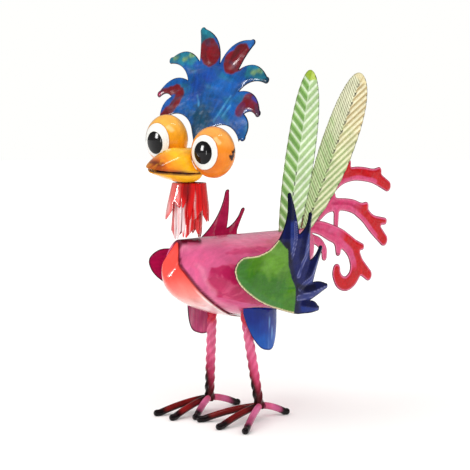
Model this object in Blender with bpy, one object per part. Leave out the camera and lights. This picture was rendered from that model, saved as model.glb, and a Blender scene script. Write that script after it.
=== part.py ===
"""Standing rooster ornament of painted sheet metal and rod, facing -Y, its own left side at +X."""
import bpy
import bmesh
import numpy as np
from math import asin, ceil, cos, hypot, log, pi, radians, sin, sqrt, tan
from mathutils import Matrix, Vector
from mathutils.bvhtree import BVHTree
from mathutils.geometry import delaunay_2d_cdt

MM = 0.001

# general sizes, in millimetres
GAP = 0.3
SHEET = 1.0

# body: a long egg with a level back line, sections leaning forward at the breast
BACK_Z = 160.0
COLLAR_Y = -70.0
NOSE_Y = -83.0
NOSE_Z = 128.0
BELLY_Y = 20.0
BELLY_Z = 86.3
TAIL_Y = 90.0
TAIL_BOTTOM_Z = 151.0
BODY_HALF_WIDTH = 44.5
NOSE_HALF_WIDTH = 10.0
TAIL_HALF_WIDTH = 7.0
BODY_FULLNESS = 1.75
BELLY_AT = 0.6
WIDEST_AT = 0.55
BODY_ROWS = 17
LEAF_COLUMNS = 3
SIDE_COLUMNS = 9

# breast plate: a leaf laid on the front of the body
LEAF_HALF_WIDTHS = (9.3, 13.5, 17.5, 20.5, 23.0, 24.0, 22.0, 15.5, 6.5, 3.0)
LEAF_END_AT = 0.512
LEAF_LEAST_ANGLE = 0.06
LEAF_POINT_POWER = 0.75
LEAF_TIP_ROWS = 3
LEAF_TIP_AT = 0.88

# head: leans back a little at the crest and rolls towards the bird's left
HEAD_ROLL = radians(9.5)
CREST_LEAN = radians(15.0)
EYE_MIDDLE = Vector((5.0, -62.0, 239.0))
EYE_HALF_SPACING = 29.0
EYE_RADIUS = 21.5
EYE_FRONT = 15.5
EYE_BACK = 14.5
EYE_SIDES = 20

# beak, measured forward and down from the point between the eyes
BEAK_LENGTH = 43.5
BEAK_BACK = 5.0
BEAK_HALF_WIDTH = 20.0
BEAK_RIDGE = -2.0
MOUTH_DROP = 19.3
BEAK_LEVEL = 14.0
JAW_LENGTH = 39.0
JAW_HALF_WIDTH = 19.0
JAW_DEPTH = 10.0
MOUTH_OPEN = 0.8
BEAK_SHEET = 1.2

# crest: a symmetric fan of four fingers a side, arched over the eyes
CREST_BEHIND_EYES = 5.5
CREST_LEFT_TIPS = ((32.0, 97.5), (60.5, 67.5), (62.5, 38.0), (52.5, 14.0))
CREST_RIGHT_TIPS = ((33.5, 100.0), (61.0, 67.0), (63.0, 34.5), (49.5, 12.0))
CREST_VALLEYS = ((0.0, 72.5), (23.7, 70.7), (31.5, 53.0), (45.0, 35.8))
CREST_SWELL = ((7.0, -1.0), (7.0, -5.0), (6.5, -3.0), (4.0, 0.0))
CREST_TIP_RADIUS = 3.0
ARCH_RADIUS = EYE_RADIUS + 1.5
ARCH_CENTRE = 28.5
STEM_HALF_WIDTH = 2.6
STEM_LENGTH = 30.0

# neck strips
NECK_X = 2.0
NECK_Y = -60.0
NECK_LEAN = 0.08
INNER_NECK_RADIUS = 12.6
OUTER_NECK_RADIUS = INNER_NECK_RADIUS + SHEET + GAP + 0.2
OUTER_NECK_FLARE = 0.16
INNER_STRIPS = 7
OUTER_STRIPS = 8
NECK_TOP_Z = 207.6
OUTER_TIP_HEIGHTS = (183.0, 175.0, 177.0, 187.0, 177.0, 181.0, 175.0, 186.0)

# wings: measured on a side plane, the lobe flares away from the body
WING_PLANE = 45.0
WING_FLARE = 8.0
WING_TILT = 0.19
WING_LOBE = ((5.3, 157.6), (-6.0, 149.8), (-22.0, 146.0), (-38.5, 146.0), (-48.0, 138.0), (-44.5, 126.0),
             (-30.0, 113.5), (-8.0, 101.3), (24.4, 91.0), (40.0, 89.5))
WING_TIPS = ((58.4, 92.2), (69.5, 112.1), (61.0, 148.5), (47.0, 178.8), (19.4, 196.9))
WING_VALLEYS = ((40.0, 89.5), (46.0, 100.6), (49.8, 116.7), (45.8, 136.5), (31.6, 160.6), (5.3, 157.6))
WING_SWELL = ((0.5, 1.5), (0.0, 1.2), (-0.4, -1.5), (-1.5, -3.0), (1.0, -4.5))
WING_TIP_RADIUS = 2.5
RIGHT_WING_FORWARD = 2.4

# thighs
THIGH_X = 26.5
THIGH_SWELL = 5.0
THIGH_EDGE = 1.5
THIGH_FULLNESS = 2.7
LEFT_THIGH = {"y": 1.0, "half": 21.0, "drop": 36.0, "lowest at": 0.62}
RIGHT_THIGH = {"y": -17.5, "half": 18.0, "drop": 29.5, "lowest at": 0.5}

# legs and feet
LEG_TOP = Vector((20.4, -11.5, 0.0))
LEFT_FOOT = Vector((31.5, -4.0, 0.0))
RIGHT_FOOT = Vector((-25.0, -11.0, 0.0))
LEG_RADIUS = 4.5
LEG_FLAT = 3.7
LEG_TWIST_LENGTH = 34.0
LEG_STEPS = 30
LEG_END_Z = 8.5
TOE_RADIUS = 3.0
TOE_HEIGHT = 8.7
TOE_FLAT = 0.35
TOE_SIDES = 8
TOE_STEPS = 6
LEFT_TOES = (("inner", -29.0, 57.0), ("middle", 6.0, 58.5), ("outer", 32.5, 63.0), ("rear", 169.0, 32.0))
RIGHT_TOES = (("outer", -15.5, 55.5), ("middle", 9.5, 56.5), ("inner", 30.0, 45.5), ("rear", 174.0, 35.5))

# tail feathers, drawn on upright planes beside the middle of the body
FEATHER_SHEET = 1.0
FRONT_FEATHER = {"plane": 6.6, "root": (63.8, 158.0), "tip": (95.3, 305.5), "half": 19.4, "base": 0.69,
                 "widest": 0.43}
BACK_FEATHER = {"plane": 3.2, "root": (88.8, 160.5), "tip": (168.4, 303.3), "half": 22.8, "base": 0.25,
                "widest": 0.55}
FEATHER_FOLD = tan(radians(7.0))

# tail plumes: bands of changing half width laid along smooth runs
UPPER_PLUME = {
    "plane": -5.0,
    "stem": ((82.0, 163.0, 4.0), (112.0, 181.0, 5.0), (135.0, 200.5, 6.0), (155.0, 207.0, 6.7),
             (175.0, 206.5, 7.0), (192.0, 202.5, 6.5), (211.0, 193.5, 5.5)),
    "knob": ((147.0, 207.0, 4.5), (151.5, 218.0, 3.7)),
    "hump": ((184.0, 205.0, 5.0), (197.5, 209.0, 4.0)),
}
MIDDLE_PLUME = {
    "plane": -2.2,
    "stem": ((86.0, 163.0, 3.5), (104.0, 167.5, 4.5), (120.0, 178.0, 6.5), (140.0, 179.0, 6.0),
             (160.0, 175.5, 6.8), (176.0, 166.5, 7.5), (190.0, 154.0, 7.5), (205.0, 140.5, 6.0)),
    "knob": ((125.0, 181.0, 5.0), (128.5, 188.0, 3.7)),
    "hump": ((168.0, 172.0, 6.0), (177.0, 175.5, 4.3)),
    "side tip": ((188.0, 161.0, 5.0), (206.5, 159.0, 3.6)),
    "strut": ((133.5, 174.0, 3.8), (133.0, 157.5, 3.2)),
}
LOWER_PLUME = {
    "plane": 0.6,
    "stem": ((89.0, 161.0, 5.0), (108.0, 159.0, 6.5), (124.0, 153.5, 8.0), (142.0, 146.0, 8.5),
             (156.0, 135.0, 8.5), (162.5, 121.0, 8.5), (159.5, 109.0, 8.0), (149.0, 102.5, 7.3),
             (139.0, 105.0, 6.7), (134.0, 112.5, 5.8), (134.0, 117.5, 5.2)),
    "red point": ((152.0, 141.0, 7.0), (171.5, 136.5, 3.2)),
    "red knob": ((163.0, 122.0, 8.0), (181.0, 108.0, 5.6)),
    "drop": ((135.5, 146.0, 5.0), (136.0, 133.6, 3.6)),
}
BOTTOM_PLUME = {
    "plane": -2.2,
    "stem": ((89.0, 151.0, 4.0), (100.0, 148.5, 4.2), (109.0, 144.5, 4.4), (115.5, 137.5, 4.0),
             (116.3, 130.0, 3.4)),
    "drop": ((96.0, 149.0, 4.0), (94.8, 142.0, 3.0), (95.8, 133.0, 2.6)),
}
PLUME_SHEET = 1.0
PLUME_CELL = 0.8
PLUME_STEP = 3.4

# paint
PINK = (0.58, 0.10, 0.24)
CORAL = (0.93, 0.13, 0.11)
SCARLET = (0.78, 0.02, 0.02)
SALMON = (0.85, 0.16, 0.14)
YELLOW = (0.92, 0.45, 0.02)
ORANGE = (0.90, 0.28, 0.03)
BLUE = (0.01, 0.12, 0.37)
GREEN = (0.08, 0.28, 0.02)
COBALT = (0.01, 0.13, 0.48)
LEG_PINK = (0.72, 0.14, 0.27)
MAROON = (0.13, 0.01, 0.015)
LEAF_GREEN = (0.45, 0.68, 0.30)
PALE_GREEN = (0.58, 0.70, 0.38)
PLUME_PINK = (0.70, 0.13, 0.27)


def start_clean():
    for thing in list(bpy.data.objects):
        bpy.data.objects.remove(thing, do_unlink=True)
    for group in list(bpy.data.collections):
        bpy.data.collections.remove(group)


def new_collection(name):
    group = bpy.data.collections.new(name)
    bpy.context.scene.collection.children.link(group)
    return group


def paint(name, colour, roughness=0.28):
    material = bpy.data.materials.new(name)
    material.use_nodes = True
    shader = material.node_tree.nodes["Principled BSDF"]
    shader.inputs["Base Color"].default_value = (*colour, 1.0)
    shader.inputs["Roughness"].default_value = roughness
    shader.inputs["Metallic"].default_value = 0.0
    material.diffuse_color = (*colour, 1.0)
    return material


def finish(bm, name, colour, group):
    """Turn a closed mesh drawn in millimetres into a named object in metres."""
    bmesh.ops.remove_doubles(bm, verts=bm.verts, dist=0.00005)
    bmesh.ops.triangulate(bm, faces=bm.faces[:], quad_method="FIXED", ngon_method="EAR_CLIP")
    bmesh.ops.recalc_face_normals(bm, faces=bm.faces[:])
    if bm.calc_volume(signed=True) < 0.0:
        bmesh.ops.reverse_faces(bm, faces=bm.faces[:])
    bmesh.ops.scale(bm, vec=(MM, MM, MM), verts=bm.verts)
    mesh = bpy.data.meshes.new(name)
    bm.to_mesh(mesh)
    bm.free()
    thing = bpy.data.objects.new(name, mesh)
    mesh.materials.append(paint(name + "_paint", colour))
    group.objects.link(thing)
    return thing


def smooth_run(knots, per_span, closed=False):
    """Points on a smooth curve that passes through every knot."""
    knots = [np.array(k, float) for k in knots]
    count = len(knots)
    spans = count if closed else count - 1
    out = []
    for i in range(spans):
        if closed:
            p0, p1, p2, p3 = (knots[(i + k - 1) % count] for k in range(4))
        else:
            p1, p2 = knots[i], knots[i + 1]
            p0 = knots[i - 1] if i else 2 * p1 - p2
            p3 = knots[i + 2] if i + 2 < count else 2 * p2 - p1
        for k in range(per_span):
            t = k / per_span
            out.append(0.5 * (2 * p1 + (p2 - p0) * t + (2 * p0 - 5 * p1 + 4 * p2 - p3) * t * t
                              + (3 * p1 - p0 - 3 * p2 + p3) * t ** 3))
    if not closed:
        out.append(knots[-1])
    return out


def grid_solid(outer, inner):
    """Close two facing grids of points with a rim and return the mesh."""
    bm = bmesh.new()
    rows = len(outer)
    columns = len(outer[0])
    top = [[bm.verts.new(p) for p in row] for row in outer]
    low = [[bm.verts.new(p) for p in row] for row in inner]
    for i in range(rows - 1):
        for j in range(columns - 1):
            for layer, turn in ((top, False), (low, True)):
                a, b, c, d = layer[i][j], layer[i][j + 1], layer[i + 1][j + 1], layer[i + 1][j]
                first_half = j < (columns - 1) / 2
                for face in (((a, b, d), (b, c, d)) if first_half else ((a, b, c), (a, c, d))):
                    bm.faces.new(face[::-1] if turn else face)
    rim = [(0, j) for j in range(columns)]
    rim += [(i, columns - 1) for i in range(1, rows)]
    rim += [(rows - 1, j) for j in range(columns - 2, -1, -1)]
    rim += [(i, 0) for i in range(rows - 2, 0, -1)]
    for k, (i, j) in enumerate(rim):
        m, n = rim[(k + 1) % len(rim)]
        bm.faces.new((top[m][n], top[i][j], low[i][j], low[m][n]))
    return bm


def grid_normals(grid):
    rows = len(grid)
    columns = len(grid[0])
    out = []
    for i in range(rows):
        line = []
        for j in range(columns):
            along = grid[min(i + 1, rows - 1)][j] - grid[max(i - 1, 0)][j]
            across = grid[i][min(j + 1, columns - 1)] - grid[i][max(j - 1, 0)]
            line.append(across.cross(along).normalized())
        out.append(line)
    return out


def thick_grid(grid, near, far, turn=1.0):
    """A sheet between two distances from a grid of points."""
    normals = grid_normals(grid)
    outer = [[p + n * far * turn for p, n in zip(*pair)] for pair in zip(grid, normals)]
    inner = [[p + n * near * turn for p, n in zip(*pair)] for pair in zip(grid, normals)]
    return grid_solid(outer, inner)


def inside(polygon, point):
    x, y = point
    hit = False
    for (ax, ay), (bx, by) in zip(polygon, polygon[1:] + polygon[:1]):
        if (ay > y) != (by > y) and x < (bx - ax) * (y - ay) / (by - ay) + ax:
            hit = not hit
    return hit


def distance_to_outline(polygon, point):
    p = np.array(point)
    a = np.array(polygon)
    d = np.roll(a, -1, axis=0) - a
    t = np.clip(((p - a) * d).sum(1) / (d * d).sum(1), 0.0, 1.0)
    return float(np.sqrt(((a + d * t[:, None] - p) ** 2).sum(1)).min())


def sheet(outline, place, thickness, spacing=None):
    """Cut sheet metal: a flat outline carried onto a surface and given its thickness."""
    outline = [tuple(map(float, p)) for p in outline]
    points = list(outline)
    if spacing:
        low = np.min(outline, axis=0)
        high = np.max(outline, axis=0)
        row = 0
        v = low[1] + spacing * 0.5
        while v < high[1]:
            u = low[0] + spacing * (0.5 if row % 2 else 1.0)
            while u < high[0]:
                if inside(outline, (u, v)) and distance_to_outline(outline, (u, v)) > spacing * 0.5:
                    points.append((u, v))
                u += spacing
            v += spacing * 0.87
            row += 1
    face = [list(range(len(outline)))]
    flat, _, faces, _, _, _ = delaunay_2d_cdt([Vector(p) for p in points], [], face, 1, 1e-5)
    bm = bmesh.new()
    front = []
    back = []
    for p in flat:
        here = place(p.x, p.y)
        du = place(p.x + 0.05, p.y) - place(p.x - 0.05, p.y)
        dv = place(p.x, p.y + 0.05) - place(p.x, p.y - 0.05)
        normal = du.cross(dv).normalized()
        front.append(bm.verts.new(here + normal * thickness / 2))
        back.append(bm.verts.new(here - normal * thickness / 2))
    used = {}
    for f in faces:
        bm.faces.new([front[i] for i in f])
        bm.faces.new([back[i] for i in reversed(f)])
        for a, b in zip(f, f[1:] + f[:1]):
            used[(a, b)] = True
    for a, b in used:
        if (b, a) not in used:
            bm.faces.new((front[b], front[a], back[a], back[b]))
    return bm


def trim(bm, point, normal):
    """Cut a closed mesh by a plane and close the cut, keeping the side away from the normal."""
    geometry = bm.verts[:] + bm.edges[:] + bm.faces[:]
    bmesh.ops.bisect_plane(bm, geom=geometry, dist=0.00001, plane_co=point, plane_no=normal, clear_outer=True)
    edges = [e for e in bm.edges if e.is_boundary]
    if edges:
        bmesh.ops.holes_fill(bm, edges=edges, sides=0)
    return bm


def subtract(thing, cutter):
    step = thing.modifiers.new("cut", "BOOLEAN")
    step.operation = "DIFFERENCE"
    step.solver = "EXACT"
    step.object = cutter
    graph = bpy.context.evaluated_depsgraph_get()
    mesh = bpy.data.meshes.new_from_object(thing.evaluated_get(graph))
    thing.modifiers.clear()
    old = thing.data
    thing.data = mesh
    bpy.data.meshes.remove(old)


def swept_edge(a, b, outward, swell, steps):
    """Points from a towards b on a curve bowed by the swell to the outward side, without the end point."""
    run = (b - a) / np.linalg.norm(b - a)
    away = np.array((run[1], -run[0]))
    if away @ outward < 0:
        away = -away
    middle = (a + b) / 2 + away * swell * 2
    shares = [k / steps for k in range(steps)]
    return [a * (1 - t) ** 2 + middle * 2 * t * (1 - t) + b * t * t for t in shares]


def finger(start, tip, end, radius, swell_out, swell_back, steps):
    """Edge of a rounded finger from one valley over its tip to the next valley, without the end point."""
    start, tip, end = (np.array(p, float) for p in (start, tip, end))
    root = (start + end) / 2
    axis = (tip - root) / np.linalg.norm(tip - root)
    side = np.array((axis[1], -axis[0]))
    if (start - end) @ side < 0:
        side = -side
    centre = tip - axis * radius
    out = swept_edge(start, centre + side * radius, side, swell_out, steps)
    for k in range(4):
        turn = pi * k / 4
        out.append(centre + side * radius * cos(turn) + axis * radius * sin(turn))
    return out + swept_edge(centre - side * radius, end, -side, swell_back, steps)


def fingers(valleys, tips, swells, radius, steps=4):
    out = []
    for i, tip in enumerate(tips):
        out += finger(valleys[i], tip, valleys[i + 1], radius, swells[i][0], swells[i][1], steps)
    return out


def clip(outline, axis, limit):
    """Keep the part of a flat outline at or above the limit on one axis."""
    out = []
    for a, b in zip(outline, outline[1:] + outline[:1]):
        a_in, b_in = a[axis] >= limit, b[axis] >= limit
        if a_in:
            out.append(tuple(a))
        if a_in != b_in:
            t = (limit - a[axis]) / (b[axis] - a[axis])
            cut = [a[k] + (b[k] - a[k]) * t for k in range(2)]
            cut[axis] = limit
            out.append(tuple(cut))
    return out


def body_section(t):
    """Top point, bottom point and half width of the body section at t, from breast 0 to tail 1."""
    if t < BELLY_AT:
        share = t / BELLY_AT
        q = share * pi / 2
        power = 2 / BODY_FULLNESS
        bottom = Vector((0, BELLY_Y - (BELLY_Y - NOSE_Y) * cos(q) ** power,
                         NOSE_Z - (NOSE_Z - BELLY_Z) * sin(q) ** power))
        top_y = COLLAR_Y + (BELLY_Y - COLLAR_Y) * share
    else:
        share = (t - BELLY_AT) / (1 - BELLY_AT)
        top_y = BELLY_Y + (TAIL_Y - BELLY_Y) * share
        bottom = Vector((0, top_y, BELLY_Z + (TAIL_BOTTOM_Z - BELLY_Z) * share ** 2.3))
    top = Vector((0, top_y, BACK_Z))
    if t < WIDEST_AT:
        swell = (1 - (1 - t / WIDEST_AT) ** 2.4) ** 1.4
        width = NOSE_HALF_WIDTH + (BODY_HALF_WIDTH - NOSE_HALF_WIDTH) * swell
    else:
        swell = (1 - ((t - WIDEST_AT) / (1 - WIDEST_AT)) ** 2.2) ** 0.8
        width = TAIL_HALF_WIDTH + (BODY_HALF_WIDTH - TAIL_HALF_WIDTH) * swell
    return top, bottom, width


def body_point(t, phi):
    top, bottom, width = body_section(t)
    point = bottom + (top - bottom) * (1 - cos(phi)) / 2
    point.x = width * sin(phi)
    return point


def leaf_angle(t):
    """Half angle the breast plate covers on the body section at t."""
    width = body_section(t)[2]
    steps = len(LEAF_HALF_WIDTHS) - 1
    half = float(np.interp(t / LEAF_END_AT * steps, range(steps + 1), LEAF_HALF_WIDTHS))
    return max(LEAF_LEAST_ANGLE, asin(min(half / width, 0.97)))


def body_rows():
    steps = len(LEAF_HALF_WIDTHS) - 1
    leaf_rows = [LEAF_END_AT * k / steps for k in range(steps + 1)]
    rest = BODY_ROWS - len(leaf_rows)
    return leaf_rows + [LEAF_END_AT + (1 - LEAF_END_AT) * (k + 1) / rest for k in range(rest)]


def body_ring(t):
    """Section points going once round, starting and ending beside the middle of the plate."""
    half = leaf_angle(t)
    right = [half * k / LEAF_COLUMNS for k in range(LEAF_COLUMNS)]
    right += [half + (pi - half) * k / SIDE_COLUMNS for k in range(SIDE_COLUMNS)]
    angles = right + [pi] + [-a for a in right[:0:-1]]
    return [body_point(t, a) for a in angles]


def build_body(group):
    rings = [body_ring(t) for t in body_rows()]
    bm = bmesh.new()
    verts = [[bm.verts.new(p) for p in ring] for ring in rings]
    count = len(rings[0])
    for i in range(len(verts) - 1):
        for j in range(count):
            k = (j + 1) % count
            a, b, c, d = verts[i][j], verts[i][k], verts[i + 1][k], verts[i + 1][j]
            if j < count // 2:
                bm.faces.new((a, b, c))
                bm.faces.new((a, c, d))
            else:
                bm.faces.new((b, a, d))
                bm.faces.new((b, d, c))
    bm.faces.new(verts[0][::-1])
    bm.faces.new(verts[-1])
    bmesh.ops.recalc_face_normals(bm, faces=bm.faces[:])
    tree_mesh = bm.copy()
    bmesh.ops.triangulate(tree_mesh, faces=tree_mesh.faces[:])
    tree = BVHTree.FromBMesh(tree_mesh)
    tree_mesh.free()
    finish(bm, "body_shell", PINK, group)
    return tree


def under_body(tree, x, y):
    hit = tree.ray_cast(Vector((x, y, 0.0)), Vector((0, 0, 1)))[0]
    return hit.z if hit else None


def over_body(tree, x, y):
    hit = tree.ray_cast(Vector((x, y, 400.0)), Vector((0, 0, -1)))[0]
    return hit.z if hit else None


def build_breast(group):
    """Leaf plate: rows down the front of the body plus a point that runs up to the collar."""
    top, bottom, _ = body_section(0.0)
    tip = bottom + (top - bottom) * LEAF_TIP_AT
    half = leaf_angle(0.0)
    first = [body_point(0.0, half * j / LEAF_COLUMNS) - tip for j in range(-LEAF_COLUMNS, LEAF_COLUMNS + 1)]
    rows = []
    for k in range(LEAF_TIP_ROWS, 0, -1):
        share = 1 - k / (LEAF_TIP_ROWS + 0.4)
        narrow = share ** LEAF_POINT_POWER
        rows.append([tip + Vector((p.x * narrow, p.y * share, p.z * share)) for p in first])
    for t in body_rows():
        if t <= LEAF_END_AT + 1e-6:
            half = leaf_angle(t)
            rows.append([body_point(t, half * j / LEAF_COLUMNS) for j in range(-LEAF_COLUMNS,
                                                                              LEAF_COLUMNS + 1)])
    bm = thick_grid(rows, GAP, GAP + SHEET, -1.0)
    return finish(bm, "breast_shell", CORAL, group)


def head_frame():
    side = Vector((cos(HEAD_ROLL), 0, -sin(HEAD_ROLL)))
    up = Vector((sin(HEAD_ROLL), 0, cos(HEAD_ROLL)))
    back = Vector((0, 1, 0))
    return side, back, up


def head_point(s, f, u):
    """A point s to the bird's left, f forward and u up from the middle of the eyes."""
    side, back, up = head_frame()
    return EYE_MIDDLE + side * s - back * f + up * u


def eye_mesh(where, extra=0.0):
    """Two pressed domes closed on each other, turned about the forward direction."""
    bm = bmesh.new()
    levels = [radians(a) for a in (22, 42, 60, 76, 90, 104, 120, 138, 158)]
    rings = []
    for level in levels:
        depth = EYE_FRONT if level < pi / 2 else EYE_BACK
        f = cos(level) * (depth + extra)
        r = sin(level) * (EYE_RADIUS + extra)
        ring = []
        for k in range(EYE_SIDES):
            turn = 2 * pi * k / EYE_SIDES
            ring.append(bm.verts.new(head_point(where + r * cos(turn), f, r * sin(turn))))
        rings.append(ring)
    front = bm.verts.new(head_point(where, EYE_FRONT + extra, 0))
    rear = bm.verts.new(head_point(where, -EYE_BACK - extra, 0))
    for a, b in zip(rings, rings[1:]):
        for k in range(EYE_SIDES):
            n = (k + 1) % EYE_SIDES
            bm.faces.new((a[k], a[n], b[n], b[k]))
    for k in range(EYE_SIDES):
        n = (k + 1) % EYE_SIDES
        bm.faces.new((front, rings[0][n], rings[0][k]))
        bm.faces.new((rear, rings[-1][k], rings[-1][n]))
    return bm


def build_eyes(group, cutters):
    out = []
    for name, where in (("eye_left", EYE_HALF_SPACING), ("eye_right", -EYE_HALF_SPACING)):
        finish(eye_mesh(where), name, ORANGE, group)
        cutter = finish(eye_mesh(where, GAP + 0.1), name + "_clearance", ORANGE, cutters)
        cutter.hide_render = True
        cutter.display_type = "WIRE"
        out.append(cutter)
    return out


def crest_place(u, v):
    side, back, up = head_frame()
    rise = up * cos(CREST_LEAN) + back * sin(CREST_LEAN)
    return EYE_MIDDLE + back * CREST_BEHIND_EYES + side * u + rise * v


def crest_half(tips):
    """One half drawn from the middle notch round the fingers and the eye arch to the stem."""
    half = fingers(CREST_VALLEYS + ((ARCH_CENTRE + ARCH_RADIUS * cos(radians(33)),
                                     ARCH_RADIUS * sin(radians(33))),),
                   tips, CREST_SWELL, CREST_TIP_RADIUS)
    for k in range(9):
        turn = radians(33 + (150 - 33) * k / 8)
        half.append(np.array((ARCH_CENTRE + ARCH_RADIUS * cos(turn), ARCH_RADIUS * sin(turn))))
    half.append(np.array((STEM_HALF_WIDTH, 3.0)))
    half.append(np.array((STEM_HALF_WIDTH, -STEM_LENGTH)))
    return half


def crest_outline():
    return crest_half(CREST_LEFT_TIPS) + [(-p[0], p[1]) for p in crest_half(CREST_RIGHT_TIPS)[:0:-1]]


def build_crest(group):
    bm = sheet(crest_outline(), crest_place, SHEET)
    return finish(bm, "crest", BLUE, group)


def beak_ridge(f):
    """Height of the top of the upper beak above its lower edge, f forward of the eyes."""
    level = MOUTH_DROP + BEAK_RIDGE
    if f <= BEAK_LEVEL:
        return level
    share = (f - BEAK_LEVEL) / (BEAK_LENGTH - BEAK_LEVEL)
    return level * (1 - share ** 1.4) ** 0.95 + 0.9 * share


def beak_half_width(f, length, half):
    share = max(f, 0.0) / length
    return max(half * sqrt(max(1 - share ** 1.9, 0.0)), 1.3)


def build_upper_beak(group, cutters):
    rows = []
    stations = [-BEAK_BACK - 3.0, 0.0, 7.0, 14.0, 20.0, 26.0, 32.0, 37.0, 41.0, BEAK_LENGTH]
    for f in stations:
        half = beak_half_width(f, BEAK_LENGTH, BEAK_HALF_WIDTH)
        rise = beak_ridge(f)
        lip = MOUTH_DROP - 1.0 * max(f, 0) / BEAK_LENGTH
        row = []
        for k in range(11):
            a = -pi / 2 + pi * k / 10
            row.append(head_point(half * sin(a), f, -lip + rise * cos(a)))
        rows.append(row)
    bm = thick_grid(rows, 0.0, BEAK_SHEET, 1.0)
    trim_behind(bm)
    thing = finish(bm, "upper_beak", YELLOW, group)
    for cutter in cutters:
        subtract(thing, cutter)
    return thing


def trim_behind(bm):
    """Stop a head piece just in front of the crest stem."""
    side, back, up = head_frame()
    normal = back * cos(CREST_LEAN) - up * sin(CREST_LEAN)
    point = crest_place(0, 0) - normal * (SHEET / 2 + GAP)
    trim(bm, point, normal)


def jaw_edge(f):
    """Height of the lower beak's rim, tight at the corner of the mouth and open at the front."""
    share = min(max((f - 2.0) / 12.0, 0.0), 1.0)
    return -MOUTH_DROP - GAP - BEAK_SHEET * 0.2 - MOUTH_OPEN * share


def build_lower_beak(group, cutters):
    rows = []
    stations = [-BEAK_BACK - 3.0, 0.0, 7.0, 14.0, 20.0, 26.0, 32.0, 36.0, JAW_LENGTH]
    for f in stations:
        half = beak_half_width(f, JAW_LENGTH + 0.5, JAW_HALF_WIDTH)
        depth = JAW_DEPTH * (1 - (max(f, 0) / (JAW_LENGTH + 2)) ** 1.6)
        row = []
        for k in range(9):
            a = -pi / 2 + pi * k / 8
            row.append(head_point(half * sin(a), f, jaw_edge(f) - depth * cos(a)))
        rows.append(row)
    bm = thick_grid(rows, 0.0, BEAK_SHEET, 1.0)
    trim_behind(bm)
    thing = finish(bm, "lower_beak", YELLOW, group)
    for cutter in cutters:
        subtract(thing, cutter)
    return thing


def neck_place(radius, flare, top):
    def place(u, v):
        r = radius + flare * (top - v)
        turn = u / radius
        return Vector((NECK_X + r * sin(turn), NECK_Y - NECK_LEAN * (top - v) + r * cos(turn), v))
    return place


def comb_outline(radius, strips, top, tip_height):
    """Flat comb: a level top edge and hanging strips of uneven length."""
    length = 2 * pi * radius - GAP * 1.5
    pitch = length / strips
    pieces = 2 * strips
    out = [(length * k / pieces, top) for k in range(pieces, -1, -1)]
    for i in range(strips):
        left = pitch * i
        low = tip_height(i, left + pitch / 2)
        slit = low + (top - low) * (0.62 - 0.16 * ((i * 5) % 3))
        skew = 0.22 * (((i * 7) % 5) / 2 - 1)
        shoulder = low + (6.0 + 2.0 * ((i * 3) % 3))
        if i == 0:
            out.append((left, shoulder))
        else:
            out.append((left, slit))
            out.append((left + 0.35, shoulder + 2.0))
        out.append((left + pitch * (0.38 + skew), low))
        out.append((left + pitch * (0.62 + skew), low))
        out.append((left + pitch - 0.35, shoulder) if i + 1 < strips else (left + pitch, shoulder))
    return out


def build_neck(group, tree):
    inner_place = neck_place(INNER_NECK_RADIUS, 0.0, NECK_TOP_Z)

    def inner_tip(i, u):
        spots = [inner_place(u + d, BACK_Z) for d in (-5.0, -2.5, 0.0, 2.5, 5.0)]
        middle = Vector((NECK_X, NECK_Y - NECK_LEAN * (NECK_TOP_Z - BACK_Z), BACK_Z))
        around = [middle + (p - middle) * k for p in spots for k in (0.94, 1.05)]
        rest = max([BACK_Z] + [over_body(tree, p.x, p.y) or BACK_Z for p in around])
        return rest + GAP + 0.1 + (0.0, 4.0, 1.5, 0.0, 6.0, 0.0, 3.0)[i % 7]

    outline = comb_outline(INNER_NECK_RADIUS, INNER_STRIPS, NECK_TOP_Z, inner_tip)
    finish(sheet(outline, inner_place, SHEET, 4.6), "hackle_inner", SALMON, group)
    outer_place = neck_place(OUTER_NECK_RADIUS, OUTER_NECK_FLARE, NECK_TOP_Z)
    outline = comb_outline(OUTER_NECK_RADIUS, OUTER_STRIPS, NECK_TOP_Z,
                           lambda i, u: OUTER_TIP_HEIGHTS[i])
    finish(sheet(outline, outer_place, SHEET, 5.4), "hackle_outer", SCARLET, group)


def wing_outline():
    lobe = smooth_run(WING_LOBE, 3)
    spikes = fingers(WING_VALLEYS, WING_TIPS, WING_SWELL, WING_TIP_RADIUS, 4)
    return [tuple(p) for p in lobe[:-1]] + [tuple(p) for p in spikes[:-1]]


def wing_flare(u, v):
    """Distance the wing stands outside its side plane."""
    front = max(8.0 - u, 0.0) / 57.0
    lean = max(v - 158.0, 0.0) * WING_TILT
    hollow = 3.0 * max(1 - hypot((u + 15.0) / 34.0, (v - 122.0) / 26.0), 0.0)
    return WING_FLARE * front ** 1.5 - lean + hollow


def build_wings(group, tree):
    outline = wing_outline()
    offset = None
    for u in range(-40, 60, 3):
        for v in range(95, 160, 3):
            flare = wing_flare(u, v)
            hit = tree.ray_cast(Vector((200.0, u - flare, v)), Vector((-1, 0, 0)))[0]
            if hit:
                need = hit.x - flare
                offset = need if offset is None else max(offset, need)
    base = offset + GAP + SHEET / 2
    for name, side, forward in (("wing_left", 1.0, 0.0), ("wing_right", -1.0, RIGHT_WING_FORWARD)):
        def place(u, v, side=side, forward=forward):
            flare = wing_flare(u, v)
            return Vector((side * (base + flare), u - flare - (base - WING_PLANE) - forward, v))
        finish(sheet(outline, place, SHEET, 9.5), name, GREEN, group)


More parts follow.
